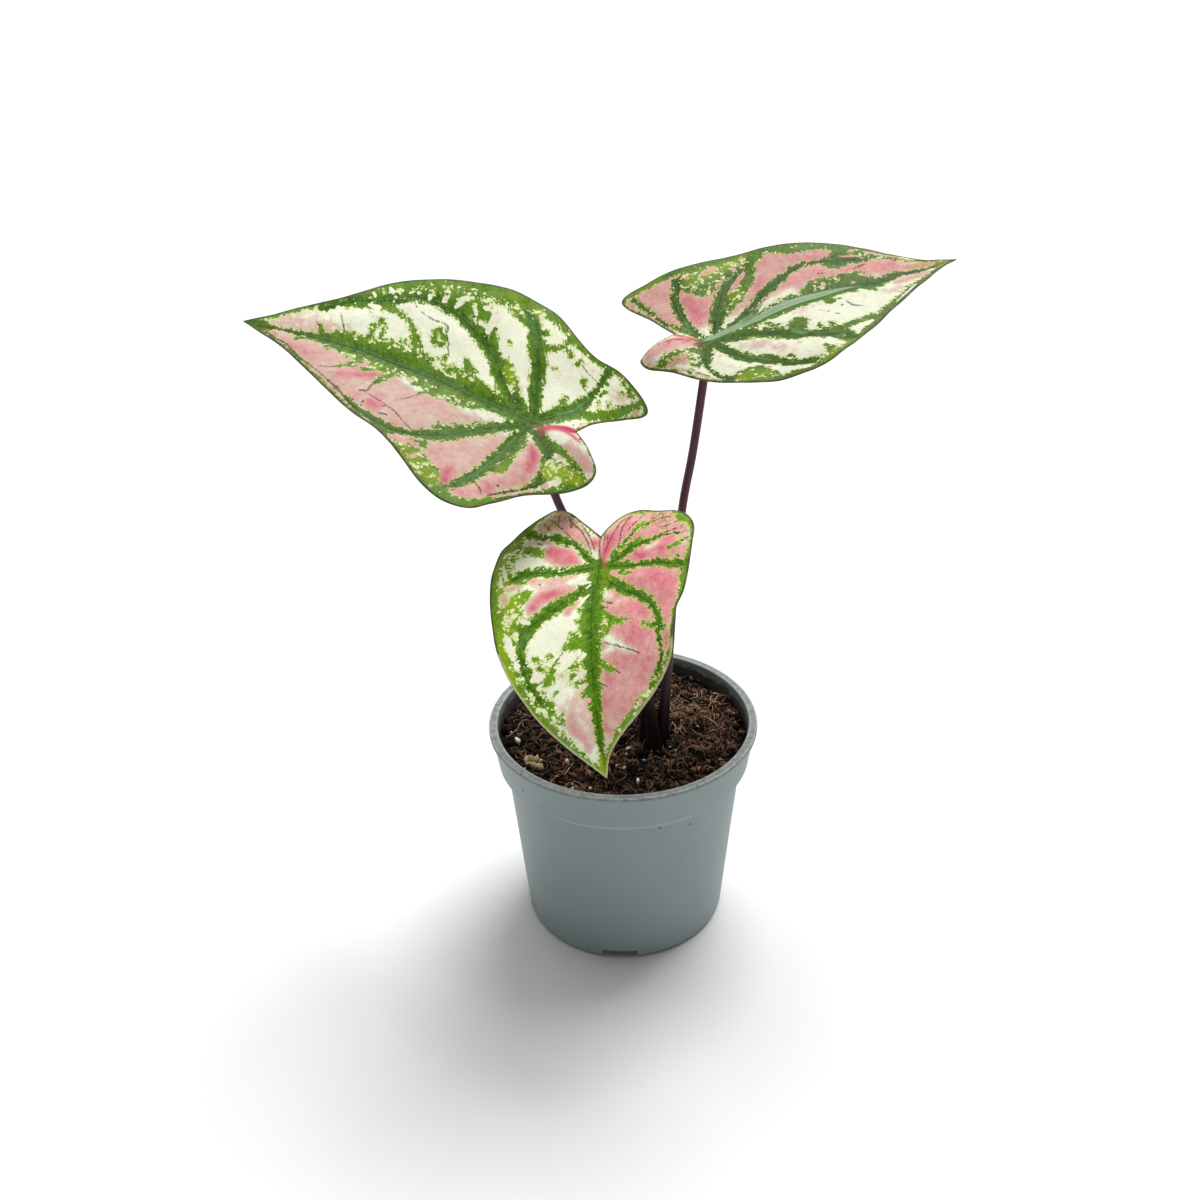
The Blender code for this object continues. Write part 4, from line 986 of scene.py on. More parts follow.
LEAVES["right"].update(
    # Painted light and shade for this leaf: the brightness of each half, then the dimming of its greens.
    tone=(0.84, 0.9),
    deep=0.6,
    tip=(54.6, 0.6, 0.5),
    sinus=(-4.8, 5.2, 0.1),
    left_edge=[
        (51, 1.4, 0.5), (47.2, 2.8, 1), (41.5, 7.4, 1.6), (35.7, 13, 2), (30, 16.2, 1.5), (21, 19.2, 1.8),
        (12, 22, 2), (4.6, 22.7, 1.6), (-3.2, 23.3, 1.7), (-7.8, 23.6, 1.4), (-9.5, 22.2, 0.8),
        (-9, 18.8, 0.1), (-6.7, 13, 0),
    ],
    right_edge=[
        (51.6, -0.7, 0.6), (48, -2.8, 0.6), (44.4, -5.3, 0.8), (40, -8.2, 1.3), (35.7, -11.2, 1.5),
        (30, -14.8, 1.7), (24.2, -18.7, 1), (15, -23.7, 1.5), (8.7, -23, 1), (2.5, -20.7, 1.4),
        (-2.4, -16.7, 0.9), (-6.3, -11, 0.1), (-9.3, -6.3, 0.1), (-12.7, -2.3, 0.3), (-13.5, 1.5, 0.1),
        (-12, 2.8, 0),
    ],
    ribs=[
        [(-2.2, -1.4, 0.9), (0, 0.1, 1.3), (4, 0.9, 1), (10, 1.2, 1.1), (16, 1.35, 1.1), (20, 1.25, 1.2),
         (25, 0.8, 1.3), (29, 0.2, 1.5), (33, -0.6, 1.8), (36, -1.5, 1.2), (40, -0.4, 1), (43, -1.1, 0.6),
         (47, -1, 0.3), (51, -0.2, 0.9), (54.4, 0.5, 1)],
        [(0.8, 0.8, 0.3), (1.8, 1.6, 0.6), (3, 3.5, 0.9), (4.2, 5.5, 1.1), (5.8, 8, 1.3), (7.5, 10.3, 1.2),
         (9.5, 12.5, 1.1), (12, 14.2, 0.7), (14.5, 15.6, 0.6)],
        [(5, 1.5, 0.4), (8, 3, 0.6), (10.5, 4.2, 0.7), (13, 5.9, 0.6), (16, 7.5, 1), (18, 8.4, 1),
         (20, 9.2, 0.8), (22, 9.9, 0.4), (25, 10.2, 0.4), (28, 10, 0.4), (31, 9, 1.4), (34, 8.2, 1.3),
         (37, 6.6, 0.5)],
        [(-0.3, 0.8, 0.2), (-0.8, 2.5, 0.5), (-1.4, 4.8, 0.7), (-1.6, 7.5, 0.7), (-1.6, 10, 0.8),
         (-1.1, 12.5, 0.8), (-0.7, 15, 0.8), (0.5, 17, 0.5), (1.6, 19.4, 0.8)],
        [(1.5, -0.8, 1.2), (4, -1.7, 1.8), (7, -2.8, 2.2), (10, -5.5, 1.8), (12, -8, 2), (14, -10.5, 1.7),
         (16.3, -13, 1.2), (18, -15, 1.7), (19.7, -17, 1.8), (20.6, -19.6, 1.9)],
        [(0.3, -1.4, 1.2), (1, -4, 1.2), (1.8, -7, 1), (3, -10, 1.2), (4.4, -12.4, 1.5), (5.8, -14.5, 1.5),
         (7.1, -16.5, 1), (8.6, -18.5, 0.8), (10.2, -20.2, 0.8), (12.5, -21.8, 0.9)],
        [(-1, -2, 1), (-2.3, -4.2, 1.4), (-3.2, -6.5, 0.8), (-3.7, -8.5, 0.3), (-3.5, -11, 0.3),
         (-3, -13.5, 0.4), (-1.6, -15.6, 0.9)],
    ],
    greens=[
        [(8, -0.4, 1), (11, -0.5, 0.7), (14, -0.3, 1), (19, -0.4, 0.9), (22, -0.5, 0.8), (28, -0.8, 1)],
        [(15.3, 2.7, 0.5), (18, 2.9, 0.5), (20, 2.4, 0.4)],
        [(22, 2.4, 1), (24.5, 3.6, 1.5), (27, 3, 1.6), (30, 2.4, 1.8), (33, 1.6, 1.9), (34, -0.5, 1.9),
         (34.6, -2.2, 1.4)], [(24.2, -1.5, 0.8), (24.6, -3.1, 0.9)], [(26.3, -3.5, 0.3)],
        [(29.6, -1.2, 0.9), (30.2, -2.5, 0.5)], [(33.2, -2.5, 1.3), (33.4, -4.4, 0.3)],
        [(7, 3, 0.4), (9.8, 2.6, 1), (10.8, 3.3, 0.8)],
        [(4.6, 5.4, 0.9), (8, 7.8, 1.7), (11, 9.9, 1.5), (13.5, 11.8, 1.2), (15.3, 14, 1.1), (16, 15.8, 0.7),
         (19, 17.6, 1)], [(2.5, 18, 1.8), (6, 17.5, 3.6), (10, 18, 3.8), (14, 18.5, 2.6), (17, 18, 1.2)],
        [(3.6, 14.4, 0.8), (5, 13, 0.8)], [(4.6, 12.6, 0.6), (6.5, 13.4, 0.9)],
        [(22.5, 16.6, 0.8), (26, 15.2, 1.1), (30, 14.2, 0.9), (33, 12.6, 1), (34.5, 11.6, 1.2)],
        [(22.6, 11.4, 0.15), (23, 10.4, 0.5), (25.5, 10.6, 0.5)],
        [(30, 8.6, 1.2), (31.4, 7.6, 1.4), (33.6, 10.6, 1.8)],
        [(36, 9.6, 1), (38.6, 8, 1.2), (42, 5.4, 0.9), (46, 2.8, 0.8)],
        [(-7.1, 21.4, 0.4), (-6.8, 19, 0.4), (-6.3, 16.5, 0.3), (-5.6, 13, 0.12), (-5, 10, 0.2),
         (-4.2, 8, 0.3), (-3.2, 6, 0.5), (-2.4, 4, 0.7), (-1.7, 2, 0.4)],
        [(13.2, -9, 1.6), (15.2, -7.6, 2), (16.3, -6, 1.2)],
        [(11.3, -2.2, 0.25), (11.9, -4, 0.3), (12.7, -4.6, 0.15)], [(18.3, -10.6, 0.15), (18.2, -12, 0.3)],
        [(20.2, -11.8, 0.5), (19.8, -13, 0.2)],
        [(17.3, -12.7, 0.6), (19, -13.6, 0.7), (21.3, -14.6, 0.9), (24.3, -14.5, 0.9), (28, -14, 0.9)],
        [(24.6, -13.8, 0.4)], [(15.6, -19.4, 0.3), (15.8, -21.3, 0.6)],
        [(9.3, -16.5, 0.2), (9.7, -17.8, 0.15)],
        [(-2, -15.8, 0.8), (0, -16.5, 1.7), (3, -17, 1.9), (4.3, -19.3, 1)],
        [(-10.4, -3, 1), (-8.5, -2.4, 0.6), (-5.6, -2.5, 0.6), (-3.4, -2.9, 1.1)],
        [(-5, -5.4, 0.8), (-5, -7, 0.4)], [(-7, -7.8, 0.35)],
    ],
    pale=[
        (0.9, 0.4, [(9, 10.5, 0.1), (11, 12, 0.4), (13.3, 13.8, 0.5), (14.2, 14.5, 0.2)]),
        (1.7, 0.8, [(7.6, 18.2, 1), (9.4, 18.7, 1)]),
        (0.7, 0.4, [(33, 9.9, 0.2), (34.5, 9, 0.3), (36, 8.6, 0.2)]),
        (0.7, 0.4, [(35.8, 10, 0.2), (37, 10.6, 0.3)]),
        (0.9, 0.4, [(22.8, -16.6, 0.5), (25, -16, 0.5), (27, -15.2, 0.2)]), (1.4, 0.6, [(13, 16.6, 0.5)]),
        (1.6, 0.6, [(13.2, 18.9, 0.6)]), (1.3, 0.5, [(15.6, 19, 0.5)]), (1.5, 0.5, [(4, 18.8, 0.5)]),
        (1.4, 0.4, [(5.8, 17, 0.3)]), (0.8, 0.4, [(8.4, 14, 0.5)]), (0.8, 0.3, [(25, 4.4, 0.3)]),
        (0.9, 0.3, [(25.5, 2.5, 0.4), (26.4, 3.4, 0.3)]), (0.9, 0.3, [(31.6, 1.2, 0.4)]),
        (0.9, 0.3, [(29.6, 3.2, 0.25), (28.6, 2.8, 0.15)]), (0.9, 0.3, [(9.5, -3.3, 0.4), (10, -2.4, 0.2)]),
        (0.9, 0.3, [(5.2, -11.2, 0.25)]), (0.8, 0.3, [(3.4, -13.8, 0.3), (4.1, -15, 0.25)]),
        (0.9, 0.4, [(5, -16.8, 0.6), (5.8, -18.2, 0.4), (7.6, -19.9, 0.4), (9.5, -21.5, 0.4),
         (10.7, -22.3, 0.2)]), (0.9, 0.4, [(17.2, -16.8, 0.3), (17.4, -18.8, 0.5), (18.3, -20.6, 0.3)]),
        (0.8, 0.4, [(-7, -4.5, 0.7)]), (0.7, 0.3, [(41, -6.7, 0.12), (37, -9.5, 0.15), (34, -11.4, 0.12)]),
        (0.8, 0.4, [(38, 9, 0.3), (41, 6.6, 0.3), (44.6, 3.8, 0.2)]),
        (0.9, 0.4, [(33.8, 2.7, 0.3), (35, 1.4, 0.3)]), (0.8, 0.4, [(41.4, 0.7, 0.2), (42.6, 0.2, 0.2)]),
    ],
    pink=[
        (0.62, 3.0, [(-5, 14, 9), (22, 12, 9), (38, 5, 7)]),
        (0.5, 1.5, [(44, 1.6, 1.2), (48, 0.4, 1), (51, 0, 0.5)]),
        (0.86, 1.5, [(1.5, 13.5, 1), (1.8, 9, 1.2), (1, 6.5, 0.6)]),
        (0.15, 1.2, [(0, 1, 0.5), (0.3, 3, 0.5)]), (0.5, 1.5, [(-4.4, 19, 1), (-3.8, 12, 1)]),
        (0.75, 1, [(17.5, 11.6, 0.7), (14, 9, 0.6)]), (0.7, 1.2, [(28, 11.4, 0.7), (24, 12.6, 0.6)]),
        (0.7, 1.2, [(27.5, 7.6, 1), (23.4, 6.8, 0.8)]),
        (0.08, 1.2, [(11.5, 1.8, 0.8), (16, 4, 1), (20, 4.4, 1)]), (0.1, 1, [(4, 1.2, 0.4), (8, 3.9, 0.5)]),
        (0.72, 1.4, [(33, 5.4, 0.8)]), (0.78, 1.4, [(37.6, 3.6, 1), (40.5, 3, 0.8)]),
        (0.3, 1.2, [(37, 0.6, 0.8)]), (0.64, 1.6, [(38.5, -4, 0.9), (42, -3.4, 1), (46, -2.4, 0.8)]),
        (0.32, 2, [(34.6, -6.5, 1.4), (37.5, -6.4, 1.2)]), (0.5, 0.9, [(-0.6, -6.9, 0.5)]),
        (0.12, 1.5, [(-1, -9, 1.4), (0, -12.6, 1)]), (0.3, 0.9, [(-2.6, -6.4, 0.3)]),
        (0.34, 2, [(4, -5, 1), (8, -10, 1.4), (11, -16, 1)]), (0.34, 1.4, [(12.8, -14, 0.7)]),
        (0.03, 1.4, [(13.4, -17.6, 1.2), (13.8, -20, 0.8)]),
        (0.26, 1.5, [(16.6, -2.6, 0.8), (22.4, -2.6, 0.8)]), (0.16, 2, [(29.5, -6, 1.2), (32, -7.5, 1)]),
        (0.75, 1.2, [(-7, -4.4, 0.7)]), (0.6, 1.4, [(-11.4, 1, 1.4), (-7, 0.8, 2.2), (-3.6, 0.2, 1.4)]),
        (0.55, 1.2, [(-10.6, -2.6, 0.8), (-7, -4.2, 1.2)]), (0.5, 1, [(-12.4, -1.4, 0.6)]),
        (0.62, 1, [(7.9, 18.2, 1), (9.2, 18.7, 0.8)]), (0.4, 0.8, [(5, -17, 0.6)]),
        (0.3, 1.5, [(-6.6, 14, 0.4), (-7.8, 18, 0.6)]),
    ],
    rose=[
        (0.9, 1.0, [(-2, 0.4, 0.5), (-3.4, 2, 0.6), (-4.7, 4, 0.6)]),
        (0.5, 1.4, [(-4.4, 1.8, 0.9), (-8, 2.8, 0.5), (-11.5, 2.2, 0.3)]),
        (0.75, 0.8, [(-1.8, -1.3, 0.6), (-3, -0.6, 0.5)]), (0.9, 0.6, [(-7.4, 1.2, 0.2), (-7, 2.4, 0.2)]),
        (0.8, 0.6, [(-9.1, 2, 0.2)]), (0.7, 0.6, [(-10.6, 2.3, 0.15)]),
        (0.8, 0.5, [(-6, 2.9, 0.15), (-5.6, 1.4, 0.2)]), (0.7, 0.5, [(-8.2, 1.2, 0.12)]),
        (0.7, 0.5, [(-5, 0.2, 0.15), (-3.4, 0.9, 0.2)]), (0.6, 0.5, [(-10, 0.9, 0.1)]),
        (0.7, 0.5, [(-6.6, 0.3, 0.12)]),
    ],
    fleck=[
        (1.0, 1.2, [(6, 6.6, 0.9), (9, 8.6, 1.2), (12.5, 11.2, 0.8)]),
        (1.0, 2, [(3, 17.4, 2.6), (8, 17, 3.2), (14, 18, 2.6)]), (0.8, 1, [(6, 13, 1.2)]),
        (0.8, 1, [(36.5, 9.6, 1.4), (40, 7, 1.2), (46, 3, 0.8)]), (0.8, 1, [(24, 3.6, 0.9), (29, 3.2, 0.9)]),
        (0.6, 1, [(17, 3, 0.5), (11, 3.4, 0.8)]),
        (0.8, 1, [(-1, -16.2, 1), (2.4, -17, 1.2), (4.6, -19.4, 1)]), (0.7, 1, [(31.4, 8, 1)]),
        (0.6, 1, [(17, 8, 0.6)]), (0.7, 1, [(12, -22.4, 1), (18, -20.5, 1), (20, -17, 0.8)]),
        (0.5, 1, [(15, -8.6, 0.8), (9, -1.6, 0.8)]), (0.8, 1, [(-9.6, -3, 1), (-6, -3, 1), (-5, -6, 0.8)]),
    ],
    yellow=[
        (0.6, 2, [(5, 18, 2), (14, 18.6, 1.4)]), (0.6, 2, [(0, -17, 1.6), (4, -19, 1.2)]),
        (0.4, 2, [(10, 9.4, 1.6)]), (0.35, 1.5, [(-7, 22.6, 1), (-1, 22, 1)]),
        (0.5, 1, [(14, -22.8, 1), (20, -20.4, 1)]), (0.5, 1.5, [(16, 19.4, 1)]), (0.9, 0.8, [(6.8, -5, 0.7)]),
        (0.6, 1, [(25.6, -14.6, 0.7)]), (0.9, 1, [(49.6, -0.8, 0.7), (52, 0.2, 0.6)]),
        (0.5, 0.8, [(-6, -5.6, 0.8)]),
    ],
    # Painted sheen: where the green takes a pale bluish reflection.
    blue=[
        (1.0, 0.6, [(0.4, 0.6, 0.6), (4, 1, 0.8), (10, 1.2, 0.95), (16, 1.4, 1.05), (20, 1.3, 1),
         (25, 0.8, 0.8), (29, 0.2, 0.5), (31, -0.3, 0.2)]),
        (0.95, 0.7, [(-0.8, 0.4, 0.3), (0, 0.6, 0.4), (0.8, 1.4, 0.2)]),
        (0.6, 0.8, [(8, 2, 0.8), (11, 2.4, 0.7)]), (0.55, 1, [(14, -8.4, 0.6), (15, -11, 0.6)]),
        (0.3, 1, [(3, -8, 0.5), (6, -14.5, 0.6)]), (0.2, 2.2, [(4, 17.5, 1.6), (10, 18.5, 2), (13, 20, 1)]),
        (0.35, 1.2, [(26, 15.4, 0.5), (31, 14.6, 0.4)]), (0.45, 1, [(-2, 4, 0.4), (-1.5, 8, 0.4)]),
        (0.4, 1, [(31.5, -0.6, 0.8)]),
    ],
    tan=[
        (0.6, 0.8, [(-13, 0, 0.5), (-11.6, -3, 0.5), (-8, -6.6, 0.6)]),
        (0.65, 1, [(-6.2, -9, 0.8), (-5, -12, 0.7), (-3.6, -14.4, 0.5)]),
        (1.0, 1.2, [(43.4, 0.8, 0.8), (47, 0.2, 1.3), (50.5, 0.4, 0.8)]),
        (0.5, 0.8, [(-8.6, 20, 0.3), (-7.3, 15, 0.3), (-5.6, 8, 0.2)]),
        (0.6, 0.8, [(9, 10.5, 0.2), (14, 14.4, 0.4)]), (0.6, 0.8, [(5, 10.6, 0.4)]),
        (0.6, 0.8, [(36.6, 6.8, 0.8), (35, 3, 0.5)]), (0.6, 0.8, [(34, 9.6, 0.5), (37, 10.4, 0.5)]),
        (0.5, 0.8, [(8.4, 14, 0.5)]), (0.7, 1, [(-9.4, -4, 1.2), (-6, -3.4, 1)]),
        (0.5, 0.8, [(5, -17.2, 0.5)]), (0.35, 0.8, [(17, -3, 0.5)]),
    ],
    lines=[
        [(20.8, -5, 0.05), (21.7, -5.9, 0.12)], [(22.2, -6.9, 0.25)], [(22.7, -8.8, 0.2), (23.1, -9.8, 0.1)],
        [(25.4, -6.3, 0.28)], [(26.7, -5, 0.05), (26.8, -7.6, 0.22), (27.7, -8.9, 0.18), (28.5, -9.6, 0.05)],
        [(20.7, -13.3, 0.1), (21, -14, 0.2)], [(-5.6, 13, 0.1), (-5, 10, 0.15), (-4.2, 8, 0.1)],
        [(10.3, 3.4, 0.12), (14.5, 5.2, 0.12)], [(10.6, 2.5, 0.12), (13.6, 4.2, 0.12)],
        [(11.4, 1.9, 0.1), (13.4, 2.9, 0.12)], [(33.4, 4.6, 0.1), (35, 5.3, 0.18), (36.6, 5.5, 0.08)],
        [(26.4, 6.6, 0.15), (27.6, 6, 0.12)], [(-9, 2.2, 0.1), (-6.2, 2.2, 0.12), (-3.6, 0.8, 0.1)],
        [(40.4, -1, 0.1), (46, -1.3, 0.12), (50, -0.6, 0.06)], [(30, 4.3, 0.15), (31, 3.6, 0.1)],
        [(2.2, 4.6, 0.12), (3.6, 7.6, 0.1), (5, 9.4, 0.12)], [(-6, -9, 0.12), (-4.4, -11.4, 0.1)],
        [(-2.3, -12, 0), (-2, -14.6, 0.12)],
    ],
)

LEAVES["front"].update(
    # Painted light and shade for this leaf: the brightness of each half, then the dimming of its greens.
    tone=(1.15, 1.18),
    deep=0.97,
    rim=[
        (0.9, 1, [(17, -18.2, 0.5), (20.7, -16.6, 0.5), (24.9, -14, 0.5), (29.4, -10.9, 0.5),
         (33.8, -6.9, 0.5), (37.4, -3.1, 0.5), (40.3, 0, 0.8)]),
        (0.8, 1, [(19, 16, 0.4), (24, 13.9, 0.5), (27.4, 10.9, 0.5), (30.7, 7.1, 0.5), (33.8, 3.4, 0.5),
         (37, 1, 0.5), (40.3, 0, 0.8)]),
    ],
    tip=(40.3, 0, 0.8),
    sinus=(-6, 0.1, 0.1),
    left_edge=[
        (37, 1, 0.6), (33.8, 3.4, 0.9), (30.7, 7.1, 1.1), (27.4, 10.9, 1.2), (24, 13.9, 1.3), (21, 15.6, 0.7),
        (17, 16.1, 0.1), (13, 16.8, 0.1), (9.9, 18.2, 0.8), (5.5, 19.2, 1.1), (1, 19.8, 0.3), (-2.3, 20, 0.7),
        (-5.7, 18.3, 0.6), (-8.1, 15.4, 0.1), (-9.6, 11.3, 0.3), (-10.8, 7.7, 0.6), (-10.1, 4.4, 0.1),
        (-7.8, 1.7, 0),
    ],
    right_edge=[
        (37.4, -3.1, 0.6), (33.8, -6.9, 1.2), (29.4, -10.9, 1.5), (24.9, -14, 1.7), (20.7, -16.6, 2),
        (15.1, -19, 1.6), (8.2, -20.2, 2), (0.2, -21, 1.6), (-5.2, -20.6, 2.2), (-8.5, -18.2, 1.4),
        (-11.5, -15.5, 0.9), (-13.7, -12.8, 0.5), (-15, -10.2, 0.1), (-13.6, -7.2, 0.1), (-10.2, -3.9, 0.1),
    ],
    ribs=[
        [(0, 0, 1), (3, 0.2, 1.8), (6, -0.6, 2), (10, -0.7, 2.1), (14, -0.7, 2.1), (18, -0.6, 1.8),
         (22, -0.5, 1.5), (26, -0.5, 1.2), (30, -0.2, 0.7), (34, -0.2, 0.5), (37, 0, 0.5), (40, 0, 1.2)],
        [(2, 1.6, 1.2), (4, 2.4, 1.2), (5.6, 4.2, 1), (7.3, 6.5, 0.9), (8.5, 8.6, 0.7), (9.8, 10.3, 0.8),
         (11.2, 11.7, 0.6), (13, 12.8, 0.5), (15.3, 13.4, 0.6), (17.4, 13.2, 0.35), (19, 13.6, 0.15),
         (21, 13.7, 0.2), (23, 12.9, 0.25), (25, 11.6, 0.3)],
        [(0.8, 2, 1), (1.3, 4, 0.9), (1.8, 6, 0.8), (2.3, 8, 0.5), (2.6, 10, 0.5), (3.1, 12, 0.5),
         (3.6, 14, 0.6), (4.3, 16, 0.8), (5, 18, 0.6)],
        [(0, 3, 0.6), (-0.8, 4.9, 0.9), (-1.9, 7, 0.8), (-2.3, 9, 0.6), (-2.2, 11, 0.5), (-2.5, 12.6, 0.3),
         (-2.5, 14, 0.15), (-1.9, 17, 0.1)],
        [(4.4, -1.4, 1), (5.6, -3, 0.8), (7, -5, 1), (8.1, -7, 1.2), (9.3, -9, 1.3), (10.7, -10.8, 1.1),
         (12, -12.4, 1.2), (14, -13.7, 1.2), (17, -14.1, 0.8), (20, -13.4, 0.7), (23, -12.2, 0.9),
         (26, -10.4, 0.9)],
        [(0.5, -1.2, 1.2), (0.7, -4, 0.9), (1, -7, 0.8), (0.9, -9, 0.8), (0.7, -11, 1), (0.7, -13, 0.8),
         (1.4, -15, 1.2), (2.2, -16.6, 0.7)],
        [(-0.5, -1.3, 0.6), (-2.5, -2.9, 0.6), (-4.5, -4.5, 0.5), (-5.7, -6.3, 0.5), (-6.6, -8, 0.8),
         (-7.7, -9.4, 0.8), (-7.9, -11, 0.5), (-8.4, -13, 0.5), (-9.2, -15.2, 0.9)],
    ],
    greens=[
        [(15.6, 13, 0.4), (15.2, 11.2, 0.3), (14.6, 9.8, 0.1)], [(16.2, 14.6, 0.2), (15.8, 13.6, 0.3)],
        [(3, 4.6, 0.4), (3.9, 7, 0.2)], [(5, 4.4, 0.6), (5.7, 5.9, 0.2)],
        [(10.6, 1.3, 0.5), (12.4, 2.6, 1.2), (13, 4.5, 0.5), (13.1, 6.8, 0.1)],
        [(14.2, 2.6, 0.6), (14.9, 1.6, 0.4)], [(20, 0.9, 0.4), (21.2, 2.6, 0.4), (21.8, 3.8, 0.15)],
        [(-2.4, 6.4, 0.4), (-3.2, 8.4, 0.15)], [(5.5, 18.4, 0.6), (8, 18.3, 0.7)],
        [(-0.4, 3, 0.4), (-2, 3.4, 0.45), (-3, 4.8, 0.3), (-4.5, 6.4, 0.15), (-6, 8.2, 0.4), (-6.3, 9, 0.6),
         (-6.2, 10, 0.2)], [(-7.2, 16, 0.4), (-4.6, 18, 0.6)],
        [(0.2, 17.8, 0.12), (0.5, 16.5, 0.4), (1.1, 15.2, 0.2)], [(3.5, 17.2, 0.3), (4, 15, 0.4)],
        [(15.8, -3.6, 1.4), (16.4, -5.4, 0.6)], [(19.6, -2.6, 1), (20.4, -4.2, 0.5)],
        [(21.8, -3.8, 0.4), (22, -4.9, 0.75)], [(25, -1.8, 0.5), (25.6, -2.5, 0.3)],
        [(22.8, -1.6, 0.7), (23.4, -3.6, 0.2)],
        [(17.7, -8.5, 0.2), (18.6, -9.5, 0.4), (18.8, -10.6, 0.4), (18.2, -11.4, 0.25)], [(20, -10.4, 0.35)],
        [(20.2, -12.2, 0.5)], [(20.4, -8.1, 0.4), (22, -8.6, 0.8), (23, -9.7, 0.3)], [(24.4, -10, 0.25)],
        [(24.8, -7.4, 0.25)], [(19.7, -7, 0.25)],
        [(-3.6, -12, 0.6), (-4.4, -13.5, 1.1), (-5, -15, 0.8), (-3.9, -14.8, 0.6)],
        [(3, -14.2, 0.4), (2.5, -15.8, 0.9), (2.6, -17, 0.4)],
        [(5.6, -13.4, 0.8), (7, -15.2, 1.4), (9, -16, 1.6), (11.6, -15.4, 1.5), (12, -18, 1.4),
         (8.6, -18.4, 1.6), (16, -17, 1.4)], [(4.7, -2.6, 0.3), (4.6, -3.1, 0.12)],
        [(-7, -17, 1), (-4.4, -18, 1.6), (-0.6, -18.4, 1.2), (3, -18.4, 1.2), (5, -18.6, 1)],
        [(8.5, -2.8, 0.3), (9.6, -2.6, 0.4)], [(28.6, -6.7, 0.25), (30, -6.9, 0.25)],
        [(26.6, -9, 0.8), (29, -8.6, 0.7)], [(11.8, -3.4, 0.3)], [(14.2, -4.2, 0.25)],
    ],
    pale=[
        (0.9, 0.4, [(2.5, 2.9, 0.3), (3.2, 4, 0.3)]), (0.9, 0.3, [(3.7, -1.5, 0.2), (3.7, -3.4, 0.25)]),
        (0.9, 0.3, [(4.3, -1.4, 0.15), (4.9, -2.1, 0.15)]),
        (0.9, 0.3, [(6.4, -1.4, 0.15), (7.4, -2.4, 0.25), (8.4, -3, 0.2)]),
        (0.9, 0.3, [(18.2, -1.9, 0.3), (19.2, -3, 0.25)]), (0.9, 0.3, [(17.8, -2.9, 0.2)]),
        (0.9, 0.3, [(21.3, -2, 0.25), (22.6, -3.9, 0.3)]), (0.9, 0.3, [(23.6, -1.8, 0.2), (24.3, -2.8, 0.3)]),
        (0.9, 0.3, [(26.5, -1.5, 0.4)]), (0.9, 0.4, [(21.5, -11, 0.6), (22, -11.8, 0.4)]),
        (0.9, 0.3, [(23.5, -10.7, 0.35)]), (0.9, 0.4, [(4, -15.2, 0.3), (4.2, -17.2, 0.6)]),
        (0.9, 0.4, [(5.8, -18, 0.5), (7, -17, 0.5)]), (0.9, 0.3, [(11.2, -12.7, 0.3), (10.8, -14, 0.35)]),
        (0.9, 0.4, [(9.7, -15.2, 0.4), (10.1, -17, 0.6)]),
        (0.9, 0.3, [(-1.2, -19, 0.2), (0.8, -18.4, 0.4), (2, -17.9, 0.25)]),
        (0.9, 0.3, [(1.5, -19.1, 0.2), (3.5, -18.6, 0.4)]),
        (0.9, 0.4, [(13, -17.2, 0.2), (14.5, -16.7, 0.7), (16.5, -16, 0.6), (18, -15.4, 0.2)]),
        (0.9, 0.3, [(19, -14.7, 0.5)]), (0.8, 0.3, [(13, -15, 0.2)]), (0.8, 0.3, [(12.3, 2, 0.2)]),
        (0.8, 0.3, [(12.9, 1.4, 0.2)]), (0.8, 0.3, [(14.2, 1, 0.2)]), (0.8, 0.3, [(23, 13.8, 0.25)]),
        (0.8, 0.3, [(24.3, 12.8, 0.25)]), (0.8, 0.3, [(27, 10, 0.25)]), (0.7, 0.3, [(28.4, 8.8, 0.25)]),
        (0.8, 0.3, [(23.8, -12.9, 0.2)]), (0.8, 0.3, [(29, -8.2, 0.3)]), (0.8, 0.3, [(27.4, -10, 0.3)]),
        (0.8, 0.3, [(-4, -18.4, 0.15), (-5.4, -16.8, 0.2)]), (0.9, 0.3, [(20.4, -6, 0.2)]),
    ],
    pink=[
        (0.7, 2.5, [(-5, 10, 9), (10, 10, 9), (28, 5, 8)]), (0.1, 1, [(5.6, 1.2, 0.4), (7.6, 3, 0.6)]),
        (0.45, 1, [(9.6, 3.6, 0.4), (9, 6, 0.5)]),
        (0.04, 0.9, [(15, 1.4, 0.7), (16, 3, 0.9), (18.4, 6.4, 0.7), (19.4, 8.4, 0.3)]),
        (0.06, 0.9, [(18.6, 1, 0.6), (18, 3.4, 0.7)]), (0.12, 0.9, [(-0.8, 12.6, 0.3), (-0.6, 10.4, 0.4)]),
        (0.98, 1.4, [(-0.2, 14.6, 1), (1, 14, 0.6)]), (1.0, 1.4, [(0.8, 9, 1), (-0.4, 8, 0.6)]),
        (0.9, 1.6, [(6, 12, 1.4), (8, 14, 1.4)]), (0.85, 1.4, [(11.6, 8.4, 0.8), (13, 10.4, 0.8)]),
        (0.8, 1.4, [(17, 10.8, 1), (15.6, 7.6, 1)]), (0.6, 1.6, [(22, 8, 1.2), (28, 5, 2), (30, 2, 1)]),
        (0.3, 1.2, [(21.6, 1.2, 0.4), (24.4, 1.4, 0.4)]), (0.3, 1, [(31, 2.6, 0.6), (32, 4, 0.4)]),
        (0.45, 1.2, [(34, 1.2, 1), (36, 0.4, 0.4)]),
        (0.5, 2, [(-6, 14, 2.6), (-8.6, 8, 1.4), (-4, 17, 1), (1, 18.4, 0.8)]), (0.68, 1.2, [(-6, 6.6, 1)]),
        (0.88, 1.2, [(-5, 2.4, 1.1), (-2, 1.4, 0.9)]), (0.55, 1, [(-4.4, 9.6, 0.6)]),
        (0.92, 1.2, [(-1, -4.4, 0.9), (-2.6, -7.4, 2.2), (-4, -10, 1.6)]),
        (0.62, 1, [(-6.2, -10, 0.6), (-7, -12.6, 0.4)]),
